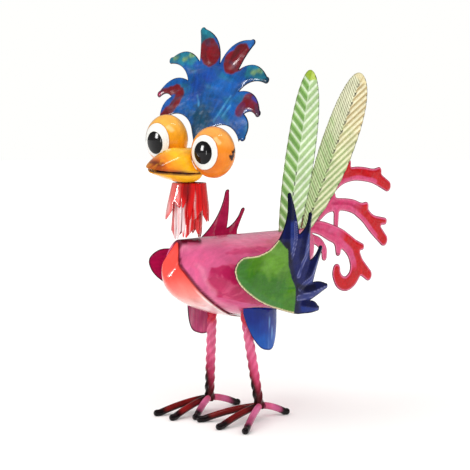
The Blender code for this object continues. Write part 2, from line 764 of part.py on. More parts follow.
def build_thighs(group, tree):
    for name, side, thigh in (("thigh_left", 1.0, LEFT_THIGH), ("thigh_right", -1.0, RIGHT_THIGH)):
        rows = [[] for _ in range(6)]
        power = log(0.5) / log(thigh["lowest at"])
        for k in range(11):
            u = -0.985 + 1.97 * k / 10
            y = thigh["y"] + thigh["half"] * u
            x = side * (THIGH_X + THIGH_SWELL * (1 - u * u))
            around = [(x + dx, y + dy) for dx in (-0.8, 0.0, 0.8) for dy in (-1.0, 1.0)]
            top = min(under_body(tree, *spot) or 1e3 for spot in around)
            top -= GAP
            away = 2 * ((u + 1) / 2) ** power - 1
            low = top - THIGH_EDGE - thigh["drop"] * sqrt(1 - abs(away) ** THIGH_FULLNESS)
            for i in range(6):
                rows[i].append(Vector((x, y, top + (low - top) * i / 5)))
        finish(thick_grid(rows, -SHEET / 2, SHEET / 2), name, COBALT if side > 0 else LEG_PINK, group)


def loft(rings):
    """Closed mesh through rings of equal count."""
    bm = bmesh.new()
    verts = [[bm.verts.new(p) for p in ring] for ring in rings]
    count = len(rings[0])
    for a, b in zip(verts, verts[1:]):
        for k in range(count):
            n = (k + 1) % count
            bm.faces.new((a[k], a[n], b[n], b[k]))
    bm.faces.new(verts[0][::-1])
    bm.faces.new(verts[-1])
    return bm


def leg_axis(foot, top):
    low = Vector((foot.x, foot.y, LEG_END_Z))
    return low, (top - low).normalized()


def build_leg(group, name, foot, top, tree):
    """Twisted square bar from the toes up to the body's underside."""
    low, axis = leg_axis(foot, top)
    across = axis.cross(Vector((0, 1, 0))).normalized()
    other = axis.cross(across)
    length = (top - low).length + 14.0
    rings = []
    for i in range(LEG_STEPS + 1):
        along = length * i / LEG_STEPS
        twist = 2 * pi * along / LEG_TWIST_LENGTH
        ring = []
        for k in range(8):
            r = LEG_RADIUS if k % 2 == 0 else LEG_FLAT
            a = twist + pi * k / 4
            ring.append(low + axis * along + (across * cos(a) + other * sin(a)) * r)
        rings.append(ring)
    bm = loft(rings)
    hit, normal, _, _ = tree.ray_cast(top - axis * 20.0, axis)
    if normal.dot(axis) > 0:
        normal = -normal
    trim(bm, hit + normal * GAP, -normal)
    finish(bm, name, LEG_PINK, group)


def toe_path(foot, heading, length):
    """Centre line of a toe: out from the leg, arching down to the floor."""
    a = radians(heading)
    forward = Vector((sin(a), -cos(a), 0))
    rest = TOE_RADIUS - TOE_FLAT
    reach = length - TOE_RADIUS
    out = []
    for k in range(TOE_STEPS + 1):
        t = k / TOE_STEPS
        z = rest + TOE_HEIGHT * (1 - min(t / 0.94, 1.0) ** 1.75)
        out.append(foot + forward * (reach * t) + Vector((0, 0, z)))
    return out, forward


def build_toe(group, name, foot, toe, others, axis):
    path, forward = toe_path(foot, toe[1], toe[2])
    side = forward.cross(Vector((0, 0, 1)))
    rings = []
    for i, centre in enumerate(path):
        run = (path[min(i + 1, len(path) - 1)] - path[max(i - 1, 0)]).normalized()
        up = side.cross(run)
        rings.append([centre + (side * cos(2 * pi * k / TOE_SIDES) + up * sin(2 * pi * k / TOE_SIDES))
                      * TOE_RADIUS for k in range(TOE_SIDES)])
    end = path[-1]
    for share in (0.5, 0.87):
        r = TOE_RADIUS * sqrt(1 - share * share)
        centre = end + forward * TOE_RADIUS * share
        rings.append([centre + (side * cos(2 * pi * k / TOE_SIDES)
                                + Vector((0, 0, 1)) * sin(2 * pi * k / TOE_SIDES)) * r
                      for k in range(TOE_SIDES)])
    bm = loft(rings)
    trim(bm, Vector((0, 0, 0)), Vector((0, 0, -1)))
    outward = (forward - axis * forward.dot(axis)).normalized()
    root = foot + Vector((0, 0, LEG_END_Z)) + outward * (LEG_RADIUS + GAP)
    trim(bm, root, -outward)
    for other in others:
        gap = (toe[1] - other[1] + 180) % 360 - 180
        if abs(gap) < 120:
            a = radians((toe[1] + other[1]) / 2)
            bisector = Vector((sin(a), -cos(a), 0))
            away = Vector((-bisector.y, bisector.x, 0))
            if away.dot(forward) > 0:
                away = -away
            trim(bm, foot - away * GAP / 2, away)
    finish(bm, name, MAROON, group)


def build_feet(group, tree):
    plan = (("left", LEFT_FOOT, LEG_TOP, LEFT_TOES),
            ("right", RIGHT_FOOT, Vector((-LEG_TOP.x, LEG_TOP.y, 0.0)), RIGHT_TOES))
    for label, foot, top, toes in plan:
        crown = Vector((top.x, top.y, under_body(tree, top.x, top.y)))
        build_leg(group, "leg_" + label, foot, crown, tree)
        axis = leg_axis(foot, crown)[1]
        for toe in toes:
            others = [t for t in toes if t is not toe]
            build_toe(group, "toe_" + label + "_" + toe[0], foot, toe, others, axis)


def feather_half_width(s, feather):
    if s < feather["widest"]:
        fall = (1 - s / feather["widest"]) ** 2
        return feather["half"] * (1 - (1 - feather["base"]) * fall)
    share = (s - feather["widest"]) / (1 - feather["widest"])
    return feather["half"] * sqrt(max(1 - share ** 2.6, 0.0))


def rest_height(tree, plane, start, end):
    """Lowest level clear of the body for a sheet standing on it between two places."""
    found = [over_body(tree, plane + dx, start + (end - start) * k / 8) for dx in (-0.5, 0.0, 0.5)
             for k in range(9)]
    return max(z for z in found if z is not None) + GAP


def feather_outline(feather, floor):
    """Leaf outline on a side plane, cut level where it stands on the body."""
    root = np.array(feather["root"])
    tip = np.array(feather["tip"])
    length = np.linalg.norm(tip - root)
    axis = (tip - root) / length
    side = np.array((axis[1], -axis[0]))
    shares = [0.0] + [0.09 * k for k in range(1, 10)] + [0.88, 0.94, 0.98]
    right = [root + axis * length * s + side * feather_half_width(s, feather) for s in shares]
    left = [root + axis * length * s - side * feather_half_width(s, feather) for s in shares[::-1]]
    below = [root - axis * 12.0 - side * feather_half_width(0.0, feather),
             root - axis * 12.0 + side * feather_half_width(0.0, feather)]
    return clip([tuple(p) for p in right + [tip] + left + below], 1, floor)


def build_feathers(group, tree):
    for name, feather, span, colour in (("tail_feather_front", FRONT_FEATHER, (46.0, 74.0), LEAF_GREEN),
                                        ("tail_feather_back", BACK_FEATHER, (76.0, 86.0), PALE_GREEN)):
        floor = rest_height(tree, feather["plane"], *span)
        root = np.array(feather["root"])
        tip = np.array(feather["tip"])
        axis = (tip - root) / np.linalg.norm(tip - root)
        side = np.array((axis[1], -axis[0]))

        def place(u, v, root=root, side=side, plane=feather["plane"]):
            off = abs(float((np.array((u, v)) - root) @ side))
            return Vector((plane + off * FEATHER_FOLD, u - plane, v))
        finish(sheet(feather_outline(feather, floor), place, FEATHER_SHEET, 14.0), name, colour, group)


def plume_field(runs, low, shape):
    """Signed distance from a grid of cells to the joined bands, softened where bands meet."""
    ys, zs = np.meshgrid(low[0] + PLUME_CELL * np.arange(shape[0]), low[1] + PLUME_CELL * np.arange(shape[1]),
                         indexing="ij")
    field = None
    for run in runs:
        line = np.array(smooth_run(run, 6)) if len(run) > 2 else np.array(run, float)
        best = None
        for a, b in zip(line, line[1:]):
            d = b - a
            t = np.clip(((ys - a[0]) * d[0] + (zs - a[1]) * d[1]) / (d[0] ** 2 + d[1] ** 2), 0.0, 1.0)
            gap = np.hypot(ys - a[0] - d[0] * t, zs - a[1] - d[1] * t) - (a[2] + d[2] * t)
            best = gap if best is None else np.minimum(best, gap)
        if field is None:
            field = best
        else:
            soft = np.clip(1 - np.abs(field - best) / 3.0, 0.0, None)
            field = np.minimum(field, best) - soft * soft * 3.0 / 4
    return field


def trace(field, low):
    """Longest closed line where the field crosses zero, found cell by cell."""
    def crossing(i, j, m, n):
        a, b = field[i, j], field[m, n]
        t = a / (a - b)
        return (low[0] + PLUME_CELL * (i + (m - i) * t), low[1] + PLUME_CELL * (j + (n - j) * t))

    links = {}
    for i, j in zip(*np.nonzero((np.abs(field[:-1, :-1]) < PLUME_CELL * 3))):
        corners = ((i, j), (i + 1, j), (i + 1, j + 1), (i, j + 1))
        signs = [field[c] < 0 for c in corners]
        ends = []
        for k in range(4):
            if signs[k] != signs[(k + 1) % 4]:
                edge = tuple(sorted((corners[k], corners[(k + 1) % 4])))
                ends.append((edge, signs[k]))
        outs = [e for e, s in ends if s]
        ins = [e for e, s in ends if not s]
        for a, b in zip(outs, ins):
            links[a] = b
    best = []
    while links:
        start = next(iter(links))
        loop = [start]
        here = links.pop(start)
        while here != start and here in links:
            loop.append(here)
            here = links.pop(here)
        if len(loop) > len(best):
            best = loop
    return [crossing(*a, *b) for a, b in best]


def thin_out(outline, step):
    """Even steps round a closed line, so the curl keeps its shape with few points."""
    line = np.array(outline + outline[:1])
    lengths = np.concatenate(([0.0], np.cumsum(np.hypot(*np.diff(line, axis=0).T))))
    count = ceil(lengths[-1] / step)
    marks = np.linspace(0, lengths[-1], count, endpoint=False)
    return [tuple(float(np.interp(m, lengths, line[:, k])) for k in range(2)) for m in marks]


def plume_outline(plume, step):
    runs = [run for key, run in plume.items() if key != "plane"]
    every = np.array([p for run in runs for p in run])
    low = every[:, :2].min(0) - 12.0
    high = every[:, :2].max(0) + 12.0
    shape = np.ceil((high - low) / PLUME_CELL).astype(int) + 1
    return thin_out(trace(plume_field(runs, low, shape), low), step)


def build_plumes(group, tree):
    plan = (("tail_plume_upper", UPPER_PLUME, 1, rest_height(tree, UPPER_PLUME["plane"], 78.0, 88.0)),
            ("tail_plume_middle", MIDDLE_PLUME, 1, rest_height(tree, MIDDLE_PLUME["plane"], 80.0, 89.5)),
            ("tail_plume_lower", LOWER_PLUME, 0, TAIL_Y + GAP),
            ("tail_plume_bottom", BOTTOM_PLUME, 0, TAIL_Y + GAP))
    for name, plume, axis, limit in plan:
        x = plume["plane"]
        outline = [(u - x, v) for u, v in plume_outline(plume, PLUME_STEP)]
        if axis == 0:
            outline = clip(outline, 0, limit)
        else:
            outline = [(u, max(v, limit) if u < TAIL_Y + 8.0 else v) for u, v in outline]
        finish(sheet(outline, lambda u, v, x=x: Vector((x, u, v)), PLUME_SHEET), name, PLUME_PINK, group)


def stand_on_origin(group):
    """Shift everything so the floor middle of the whole ornament's box is the origin."""
    low = Vector((1e9, 1e9, 1e9))
    high = -low
    for thing in group.objects:
        for v in thing.data.vertices:
            low = Vector(map(min, low, v.co))
            high = Vector(map(max, high, v.co))
    shift = Matrix.Translation((-(low.x + high.x) / 2, -(low.y + high.y) / 2, -low.z))
    for thing in group.objects:
        thing.data.transform(shift)


def main():
    start_clean()
    group = new_collection("metal_rooster")
    cutters = new_collection("cutters")
    tree = build_body(group)
    build_breast(group)
    clearances = build_eyes(group, cutters)
    build_crest(group)
    build_upper_beak(group, clearances)
    build_lower_beak(group, clearances)
    build_neck(group, tree)
    build_wings(group, tree)
    build_thighs(group, tree)
    build_feet(group, tree)
    build_feathers(group, tree)
    build_plumes(group, tree)
    for cutter in list(cutters.objects):
        bpy.data.objects.remove(cutter, do_unlink=True)
    stand_on_origin(group)


main()
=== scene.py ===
"""Looks of the standing rooster ornament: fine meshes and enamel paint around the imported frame."""
from math import asin, ceil, cos, log, pi, radians, sin, sqrt, tan

import bmesh
import bpy
import numpy as np
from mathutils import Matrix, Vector
from mathutils.bvhtree import BVHTree
from mathutils.geometry import delaunay_2d_cdt


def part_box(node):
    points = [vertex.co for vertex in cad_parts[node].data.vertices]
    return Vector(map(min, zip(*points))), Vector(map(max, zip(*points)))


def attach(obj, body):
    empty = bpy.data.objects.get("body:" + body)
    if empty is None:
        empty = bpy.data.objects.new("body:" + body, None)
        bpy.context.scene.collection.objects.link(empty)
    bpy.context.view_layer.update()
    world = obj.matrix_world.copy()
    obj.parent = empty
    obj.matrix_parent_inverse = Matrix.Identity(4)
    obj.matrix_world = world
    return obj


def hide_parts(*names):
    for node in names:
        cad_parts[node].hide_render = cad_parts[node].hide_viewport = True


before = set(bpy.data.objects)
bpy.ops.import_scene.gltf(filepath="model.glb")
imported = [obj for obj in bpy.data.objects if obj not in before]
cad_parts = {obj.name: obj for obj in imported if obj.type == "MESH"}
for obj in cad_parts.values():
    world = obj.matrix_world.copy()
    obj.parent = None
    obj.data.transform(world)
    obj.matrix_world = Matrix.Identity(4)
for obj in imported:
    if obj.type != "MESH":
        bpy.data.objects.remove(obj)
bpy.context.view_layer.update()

MM = 0.001

# general sizes, in millimetres
GAP = 0.3
SHEET = 1.0
RIM = 0.5
SPACING = 1.15

# body
BACK_Z = 160.0
COLLAR_Y = -70.0
NOSE_Y = -83.0
NOSE_Z = 128.0
BELLY_Y = 20.0
BELLY_Z = 86.3
TAIL_Y = 90.0
TAIL_BOTTOM_Z = 151.0
BODY_HALF_WIDTH = 44.5
NOSE_HALF_WIDTH = 10.0
TAIL_HALF_WIDTH = 7.0
BODY_FULLNESS = 1.75
BELLY_AT = 0.6
WIDEST_AT = 0.55
# powers that shape the widening in front, the narrowing behind and the rise of the underside
FRONT_SWELL = (2.4, 1.4)
REAR_TAPER = (2.2, 0.8)
UNDERSIDE_RISE = 2.3
BODY_INSET = 0.3
BODY_ROWS = 150
BODY_COLUMNS = 180
# painted shade cast by the wing, an airbrushed streak and a painted highlight line on the sides, as
# lengthwise place and height
WING_SHADOW_PATCH = ((-62.0, 126.0), (-57.5, 135.0), (-48.0, 138.0), (-30.0, 138.5), (-4.0, 122.0), (3.0, 100.5),
              (-10.0, 101.5), (-26.0, 106.0), (-38.0, 109.0), (-50.0, 113.0), (-58.0, 118.0))
BODY_STREAK = ((-40.0, 147.0), (-26.0, 150.5), (-8.0, 151.0), (4.0, 149.0), (-8.0, 147.5), (-24.0, 147.5))
BODY_HIGHLIGHT_LINE = ((-66.0, 138.0), (-60.0, 122.0), (-50.0, 108.0), (-38.0, 101.0))

# breast plate
LEAF_HALF_WIDTHS = (9.6, 13.0, 16.8, 19.4, 20.4, 20.0, 17.8, 13.2, 6.5, 3.0)
LEAF_END_AT = 0.512
LEAF_LEAST_ANGLE = 0.06
LEAF_POINT_POWER = 0.6
LEAF_TIP_AT = 0.94
LEAF_TIP_SHARE = 0.04
LEAF_ROWS = 100
LEAF_POINT_ROWS = 18
LEAF_COLUMNS = 56

# head
HEAD_ROLL = radians(9.5)
CREST_LEAN = radians(15.0)
EYE_MIDDLE = np.array((5.0, -62.0, 239.0))
EYE_HALF_SPACING = 29.0
EYE_RADIUS = 21.5
EYE_FRONT = 15.5
EYE_BACK = 14.5
EYE_WHITE_RADIUS = 15.2
PUPIL_RADIUS = 9.6
# radius of the white and where the white and the pupil sit on each eye, to the bird's left and up
LEFT_EYE = {"white": 14.3, "white at": (1.5, 0.4), "pupil at": (2.3, 0.3)}
RIGHT_EYE = {"white": 14.8, "white at": (0.3, -0.6), "pupil at": (0.6, -2.4)}
# scar as places forward and up, glint as places to the bird's left and up
EYE_SCAR = ((-4.5, 5.0), (-1.5, 4.0), (-3.0, 1.0), (0.5, 0.5), (-1.0, -1.5))
EYE_GLINT = ((10.0, 13.5), (14.5, 10.5))

# beak
BEAK_LENGTH = 43.5
BEAK_BACK = 5.0
BEAK_HALF_WIDTH = 20.0
BEAK_RIDGE = -2.0
MOUTH_DROP = 19.3
BEAK_LEVEL = 14.0
JAW_LENGTH = 39.0
JAW_HALF_WIDTH = 19.0
JAW_DEPTH = 10.0
MOUTH_OPEN = 0.8
BEAK_SHEET = 1.2
LIP_INSET = 3.2
LIP_HEIGHT = 2.2

# crest
CREST_BEHIND_EYES = 5.5
CREST_LEFT_TIPS = ((32.0, 97.5), (60.5, 67.5), (62.5, 38.0), (52.5, 14.0))
CREST_RIGHT_TIPS = ((33.5, 100.0), (61.0, 67.0), (63.0, 34.5), (49.5, 12.0))
CREST_VALLEYS = ((0.0, 72.5), (23.7, 70.7), (31.5, 53.0), (45.0, 35.8))
CREST_SWELL = ((7.0, -1.0), (7.0, -5.0), (6.5, -3.0), (4.0, 0.0))
CREST_TIP_RADIUS = 3.0
ARCH_RADIUS = EYE_RADIUS + 1.5
ARCH_CENTRE = 28.5
ARCH_START = radians(33)
ARCH_END = radians(150)
# red sweep round the valley between the bird's two lower right fingers
CREST_SWEEP = ((-60, 35.5), (-52, 38.5), (-40, 43.5), (-35, 40), (-37, 32), (-43, 22), (-50, 14))
STEM_HALF_WIDTH = 2.6
STEM_LENGTH = 30.0

# neck strips
NECK_X = 2.0
NECK_Y = -60.0
NECK_LEAN = 0.08
INNER_NECK_RADIUS = 12.6
OUTER_NECK_RADIUS = INNER_NECK_RADIUS + SHEET + GAP + 0.2
OUTER_NECK_FLARE = 0.16
INNER_STRIPS = 7
OUTER_STRIPS = 8
NECK_TOP_Z = 207.6
OUTER_TIP_HEIGHTS = (183.0, 175.0, 177.0, 187.0, 177.0, 181.0, 175.0, 186.0)

# wings
WING_PLANE = 45.0
WING_FLARE = 8.0
WING_TILT = 0.19
# where the flare and the tilt start, how far the flare runs forward, and the hammered hollow in the lobe
WING_FLARE_FROM = 8.0
WING_FLARE_RUN = 57.0
WING_TILT_FROM = 158.0
WING_HOLLOW = {"depth": 3.0, "u": -15.0, "v": 122.0, "half": 34.0, "rise": 26.0}
WING_LOBE = ((5.3, 157.6), (-6.0, 149.8), (-22.0, 146.0), (-38.5, 146.0), (-48.0, 138.0), (-44.5, 126.0),
             (-30.0, 113.5), (-8.0, 101.3), (24.4, 91.0), (40.0, 89.5))
WING_TIPS = ((58.4, 92.2), (69.5, 112.1), (61.0, 148.5), (47.0, 178.8), (19.4, 196.9))
WING_VALLEYS = ((40.0, 89.5), (46.0, 100.6), (49.8, 116.7), (45.8, 136.5), (31.6, 160.6), (5.3, 157.6))
WING_SWELL = ((0.5, 1.5), (0.0, 1.2), (-0.4, -1.5), (-1.5, -3.0), (1.0, -4.5))
WING_TIP_RADIUS = 2.5
RIGHT_WING_FORWARD = 2.4
# painted lit facets beside the creases and darkest parts of the fingers, each as a half width and a path
WING_LIT_FACETS = ((1.5, (26.6, 170.0), (26.5, 156.0), (21.8, 141.0)),
               (1.4, (43.0, 149.0), (37.5, 137.5), (30.5, 123.5)),
               (1.7, (58.5, 134.0), (49.0, 122.0), (32.5, 112.2)),
               (2.3, (66.5, 109.6), (49.2, 105.6), (31.0, 104.2)))
WING_DARK = ((3.0, (19.9, 196.0), (21.0, 176.0)),
             (2.6, (47.5, 178.0), (44.5, 164.0)),
             (1.6, (15.5, 152.0), (19.5, 138.0)),
             (1.2, (60.6, 147.4), (57.0, 139.0)),
             (1.0, (30.0, 114.5), (38.0, 112.5), (50.0, 112.5)))
# where green meets navy, as side-plane places from the lobe's top to its underside
WING_BORDER = ((4.6, 157.6), (16.8, 147.7), (17.9, 133.8), (22.1, 122.2), (27.3, 113.5), (26.4, 101.4),
               (24.4, 89.0))

# thighs
THIGH_X = 26.5
THIGH_SWELL = 5.0
THIGH_EDGE = 1.5
THIGH_FULLNESS = 2.7
LEFT_THIGH = {"y": 1.0, "half": 21.0, "drop": 36.0, "lowest at": 0.62}
RIGHT_THIGH = {"y": -17.5, "half": 18.0, "drop": 29.5, "lowest at": 0.5}

# legs and feet
LEG_TOP = np.array((20.4, -11.5, 0.0))
LEFT_FOOT = np.array((31.5, -4.0, 0.0))
RIGHT_FOOT = np.array((-25.0, -11.0, 0.0))
LEG_RADIUS = 4.5
LEG_FLAT = 3.7
LEG_TWIST_LENGTH = 34.0
LEG_END_Z = 8.5
LEG_OVERLENGTH = 14.0
LEG_CORNER_SHARPNESS = 1.3
TOE_RADIUS = 3.0
TOE_HEIGHT = 8.7
TOE_FLAT = 0.35
TOE_REST_SHARE = 0.94
TOE_FALL = 1.75
# each toe's name, bearing in degrees from straight ahead, and reach
LEFT_TOES = (("inner", -29.0, 57.0), ("middle", 6.0, 58.5), ("outer", 32.5, 63.0), ("rear", 169.0, 32.0))
RIGHT_TOES = (("outer", -15.5, 55.5), ("middle", 9.5, 56.5), ("inner", 30.0, 45.5), ("rear", 174.0, 35.5))

# tail feathers
FRONT_FEATHER = {"plane": 6.6, "root": (63.8, 158.0), "tip": (95.3, 305.5), "half": 19.4, "base": 0.69,
                 "widest": 0.43, "pitch": 9.4, "rise": (0.5, 1.25)}
BACK_FEATHER = {"plane": 3.2, "root": (88.8, 160.5), "tip": (168.4, 303.3), "half": 22.8, "base": 0.25,
                "widest": 0.55, "pitch": 10.2, "rise": (0.45, 1.9)}
FEATHER_FOLD = tan(radians(7.0))
CHEVRON_HEIGHT = 0.55
FINE_RIBS = 3
FINE_RIB_HEIGHT = 0.22

# tail plumes
UPPER_PLUME = {
    "plane": -5.0,
    "stem": ((82.0, 163.0, 4.0), (112.0, 181.0, 5.0), (135.0, 200.5, 6.0), (155.0, 207.0, 6.7),
             (175.0, 206.5, 7.0), (192.0, 202.5, 6.5), (211.0, 193.5, 5.5)),
    "knob": ((147.0, 207.0, 4.5), (151.5, 218.0, 3.7)),
    "hump": ((184.0, 205.0, 5.0), (197.5, 209.0, 4.0)),
}
MIDDLE_PLUME = {
    "plane": -2.2,
    "stem": ((86.0, 163.0, 3.5), (104.0, 167.5, 4.5), (120.0, 178.0, 6.5), (140.0, 179.0, 6.0),
             (160.0, 175.5, 6.8), (176.0, 166.5, 7.5), (190.0, 154.0, 7.5), (205.0, 140.5, 6.0)),
    "knob": ((125.0, 181.0, 5.0), (128.5, 188.0, 3.7)),
    "hump": ((168.0, 172.0, 6.0), (177.0, 175.5, 4.3)),
    "side tip": ((188.0, 161.0, 5.0), (206.5, 159.0, 3.6)),
    "strut": ((133.5, 174.0, 3.8), (133.0, 157.5, 3.2)),
}
LOWER_PLUME = {
    "plane": 0.6,
    "stem": ((89.0, 161.0, 5.0), (108.0, 159.0, 6.5), (124.0, 153.5, 8.0), (142.0, 146.0, 8.5),
             (156.0, 135.0, 8.5), (162.5, 121.0, 8.5), (159.5, 109.0, 8.0), (149.0, 102.5, 7.3),
             (139.0, 105.0, 6.7), (134.0, 112.5, 5.8), (134.0, 117.5, 5.2)),
    "red point": ((152.0, 141.0, 7.0), (171.5, 136.5, 3.2)),
    "red knob": ((163.0, 122.0, 8.0), (181.0, 108.0, 5.6)),
    "drop": ((135.5, 146.0, 5.0), (136.0, 133.6, 3.6)),
}
BOTTOM_PLUME = {
    "plane": -2.2,
    "stem": ((89.0, 151.0, 4.0), (100.0, 148.5, 4.2), (109.0, 144.5, 4.4), (115.5, 137.5, 4.0),
             (116.3, 130.0, 3.4)),
    "drop": ((96.0, 149.0, 4.0), (94.8, 142.0, 3.0), (95.8, 133.0, 2.6)),
}
PLUME_CELL = 0.8

# camera, in the row frame
CAMERA_PLACE = (0.83730, -0.90653, 0.27)
CAMERA_TURN = radians(45.107)
CAMERA_DOWN = radians(5.285)
FOCAL_PIXELS = 1363.6
IMAGE_SIDE = 470
SENSOR = 36.0

# strength of the surroundings as a light, and as seen in the gloss
WORLD_LIGHT = 0.76
WORLD_GLOSS = 0.34
FLOOR_RADIUS = 6.0
PANELS_AIM = (0.0, -0.12, 0.24)


def display(red, green, blue):
    """Linear colour of a display colour given from 0 to 255."""
    return np.array([((c / 255 + 0.055) / 1.055) ** 2.4 if c > 10 else c / 255 / 12.92
                     for c in (red, green, blue)])


# paint
BLUE = display(0, 80, 154)
ROYAL = display(8, 50, 142)
TEAL = display(24, 112, 128)
DEEP_TEAL = display(8, 62, 92)
SKY = display(70, 150, 200)
MAROON = display(108, 6, 22)
PURPLE = display(88, 26, 78)
MOSS = display(122, 152, 84)
ORANGE = display(240, 138, 38)
AMBER = display(242, 164, 30)
WHITE = display(244, 243, 238)
BLACK = display(10, 9, 11)
YELLOW = display(250, 186, 30)
BURNT = display(218, 96, 22)
SOOT = display(52, 18, 14)
RED = display(214, 12, 14)
DARK_RED = display(128, 2, 12)
SALMON = display(238, 112, 112)
BLUSH = display(246, 222, 224)
PINK = display(214, 92, 140)
PALE_PINK = display(232, 138, 168)
ROSE = display(226, 92, 138)
FUCHSIA = display(208, 66, 114)
CRIMSON = display(184, 22, 84)
WINE = display(108, 12, 44)
CORAL = display(252, 78, 68)
PEACH = display(255, 176, 164)
LEAF = display(76, 128, 20)
FOREST = display(44, 108, 10)
SEA_GREEN = display(58, 118, 42)
CREAM = display(230, 208, 168)
NAVY = display(8, 18, 84)
INK = display(5, 6, 34)
LILAC = display(132, 134, 182)
SLATE = display(52, 60, 122)
DENIM = display(22, 52, 138)
COBALT = display(2, 72, 160)
SAPPHIRE = display(8, 32, 124)
MAUVE = display(204, 98, 144)
BRICK = display(104, 16, 16)
TAR = display(12, 4, 6)
SPRING = display(150, 192, 112)
MEADOW = display(96, 146, 58)
SAGE = display(118, 144, 100)
MIST = display(192, 216, 166)
MINT = display(234, 245, 222)
LIME = display(152, 182, 50)
PALE_LIME = display(204, 222, 112)
PALE_GREEN = display(176, 206, 138)
CHALK = display(232, 236, 204)
STRAW = display(238, 224, 176)
CREAM_WHITE = display(248, 242, 214)
TAN = display(168, 138, 84)
OLIVE = display(96, 92, 50)
PINE = display(20, 28, 14)
SCARLET = display(190, 0, 14)
WARM_PINK = display(222, 80, 130)
PALE_GREY = display(226, 226, 224)
RUST = display(120, 60, 20)
CHARCOAL = display(17, 16, 19)
APRICOT = display(250, 196, 110)
COPPER = display(226, 120, 36)
PALE_AMBER = display(255, 214, 150)
AZURE = display(40, 104, 178)
SUNNY = display(255, 214, 90)
UMBER = display(112, 54, 12)
GRASS = display(106, 156, 54)
CERISE = display(196, 52, 104)
BRIGHT_BLUE = display(6, 96, 194)
ICE_BLUE = display(120, 176, 232)
GARNET = display(160, 32, 62)
OXBLOOD = display(84, 8, 20)
DUSTY_PINK = display(200, 84, 120)
RUSSET = display(150, 28, 24)


def smooth(value, low, high):
    """0 below the low value, 1 above the high one and a soft step between."""
    t = np.clip((value - low) / (high - low), 0.0, 1.0)
    return t * t * (3 - 2 * t)


def falling(value, low, high):
    """1 below the low value, 0 above the high one and a soft step between."""
    return 1 - smooth(value, low, high)


def wander(points, size, seed):
    """Smooth noise between about -1 and 1 with features of the given size."""
    rng = np.random.default_rng(seed)
    points = np.asarray(points, float)
    total = np.zeros(len(points))
    for _ in range(9):
        direction = rng.normal(size=points.shape[1])
        direction /= np.linalg.norm(direction)
        length = size * rng.uniform(0.7, 1.9)
        total += np.sin(points @ direction * 2 * pi / length + rng.uniform(0, 2 * pi))
    return total / 4.2


def near_path(places, path):
    """Distance of every place to a line through the path's points."""
    path = np.asarray(path, float)
    if len(path) == 1:
        return np.linalg.norm(places - path[0], axis=1)
    best = np.full(len(places), 1e9)
    for a, b in zip(path, path[1:]):
        d = b - a
        t = np.clip(((places - a) @ d) / (d @ d), 0.0, 1.0)
        best = np.minimum(best, np.linalg.norm(places - a - t[:, None] * d, axis=1))
    return best


def patch(places, outline, soft):
    """1 inside a closed outline, fading to 0 over the soft border outside it."""
    closed = np.array(list(outline) + [outline[0]], float)
    away = near_path(places, closed)
    return np.where(inside(np.array(outline, float), places), 1.0, falling(away, 0.0, soft))


class Skin:
    """Points and faces of one piece, the marks its paint is laid by, and the paint itself."""

    def __init__(self, points, faces, **marks):
        self.points = np.asarray(points, float)
        self.faces = faces
        self.marks = marks
        self.colour = np.zeros((len(self.points), 3))
        self.grain = self.points * 1.0

    def coat(self, colour):
        self.colour[:] = colour

    def lay(self, mask, colour):
        self.colour += (colour - self.colour) * np.clip(mask, 0, 1)[:, None]

    def stroke(self, path, width, soft, colour, strength=1.0, only=None):
        """A brush stroke along a path on the flat places, full to its width and fading over the soft edge."""
        places = np.column_stack((self.marks["u"], self.marks["v"]))
        ragged = near_path(places, path) + wander(places, 7.0, len(path) + int(width * 7)) * soft * 0.35
        mask = falling(ragged, width, width + soft) * strength
        self.lay(mask if only is None else mask * only, colour)


def smooth_run(knots, per_span):
    """Points on a smooth curve that passes through every knot."""
    knots = [np.array(k, float) for k in knots]
    out = []
    for i in range(len(knots) - 1):
        p1, p2 = knots[i], knots[i + 1]
        p0 = knots[i - 1] if i else 2 * p1 - p2
        p3 = knots[i + 2] if i + 2 < len(knots) else 2 * p2 - p1
        for k in range(per_span):
            t = k / per_span
            out.append(0.5 * (2 * p1 + (p2 - p0) * t + (2 * p0 - 5 * p1 + 4 * p2 - p3) * t * t
                              + (3 * p1 - p0 - 3 * p2 + p3) * t ** 3))
    out.append(knots[-1])
    return out


def even_steps(outline, step):
    """Even steps round a closed line."""
    line = np.array(list(outline) + [outline[0]], float)
    lengths = np.concatenate(([0.0], np.cumsum(np.hypot(*np.diff(line, axis=0).T))))
    marks = np.linspace(0, lengths[-1], ceil(lengths[-1] / step), endpoint=False)
    return np.column_stack([np.interp(marks, lengths, line[:, k]) for k in range(2)])


def inside(outline, places):
    """Which places lie inside a closed outline."""
    hit = np.zeros(len(places), bool)
    x, y = places[:, 0], places[:, 1]
    for (ax, ay), (bx, by) in zip(outline, np.roll(outline, -1, axis=0)):
        if ay != by:
            crosses = ((ay > y) != (by > y)) & (x < (bx - ax) * (y - ay) / (by - ay) + ax)
            hit ^= crosses
    return hit


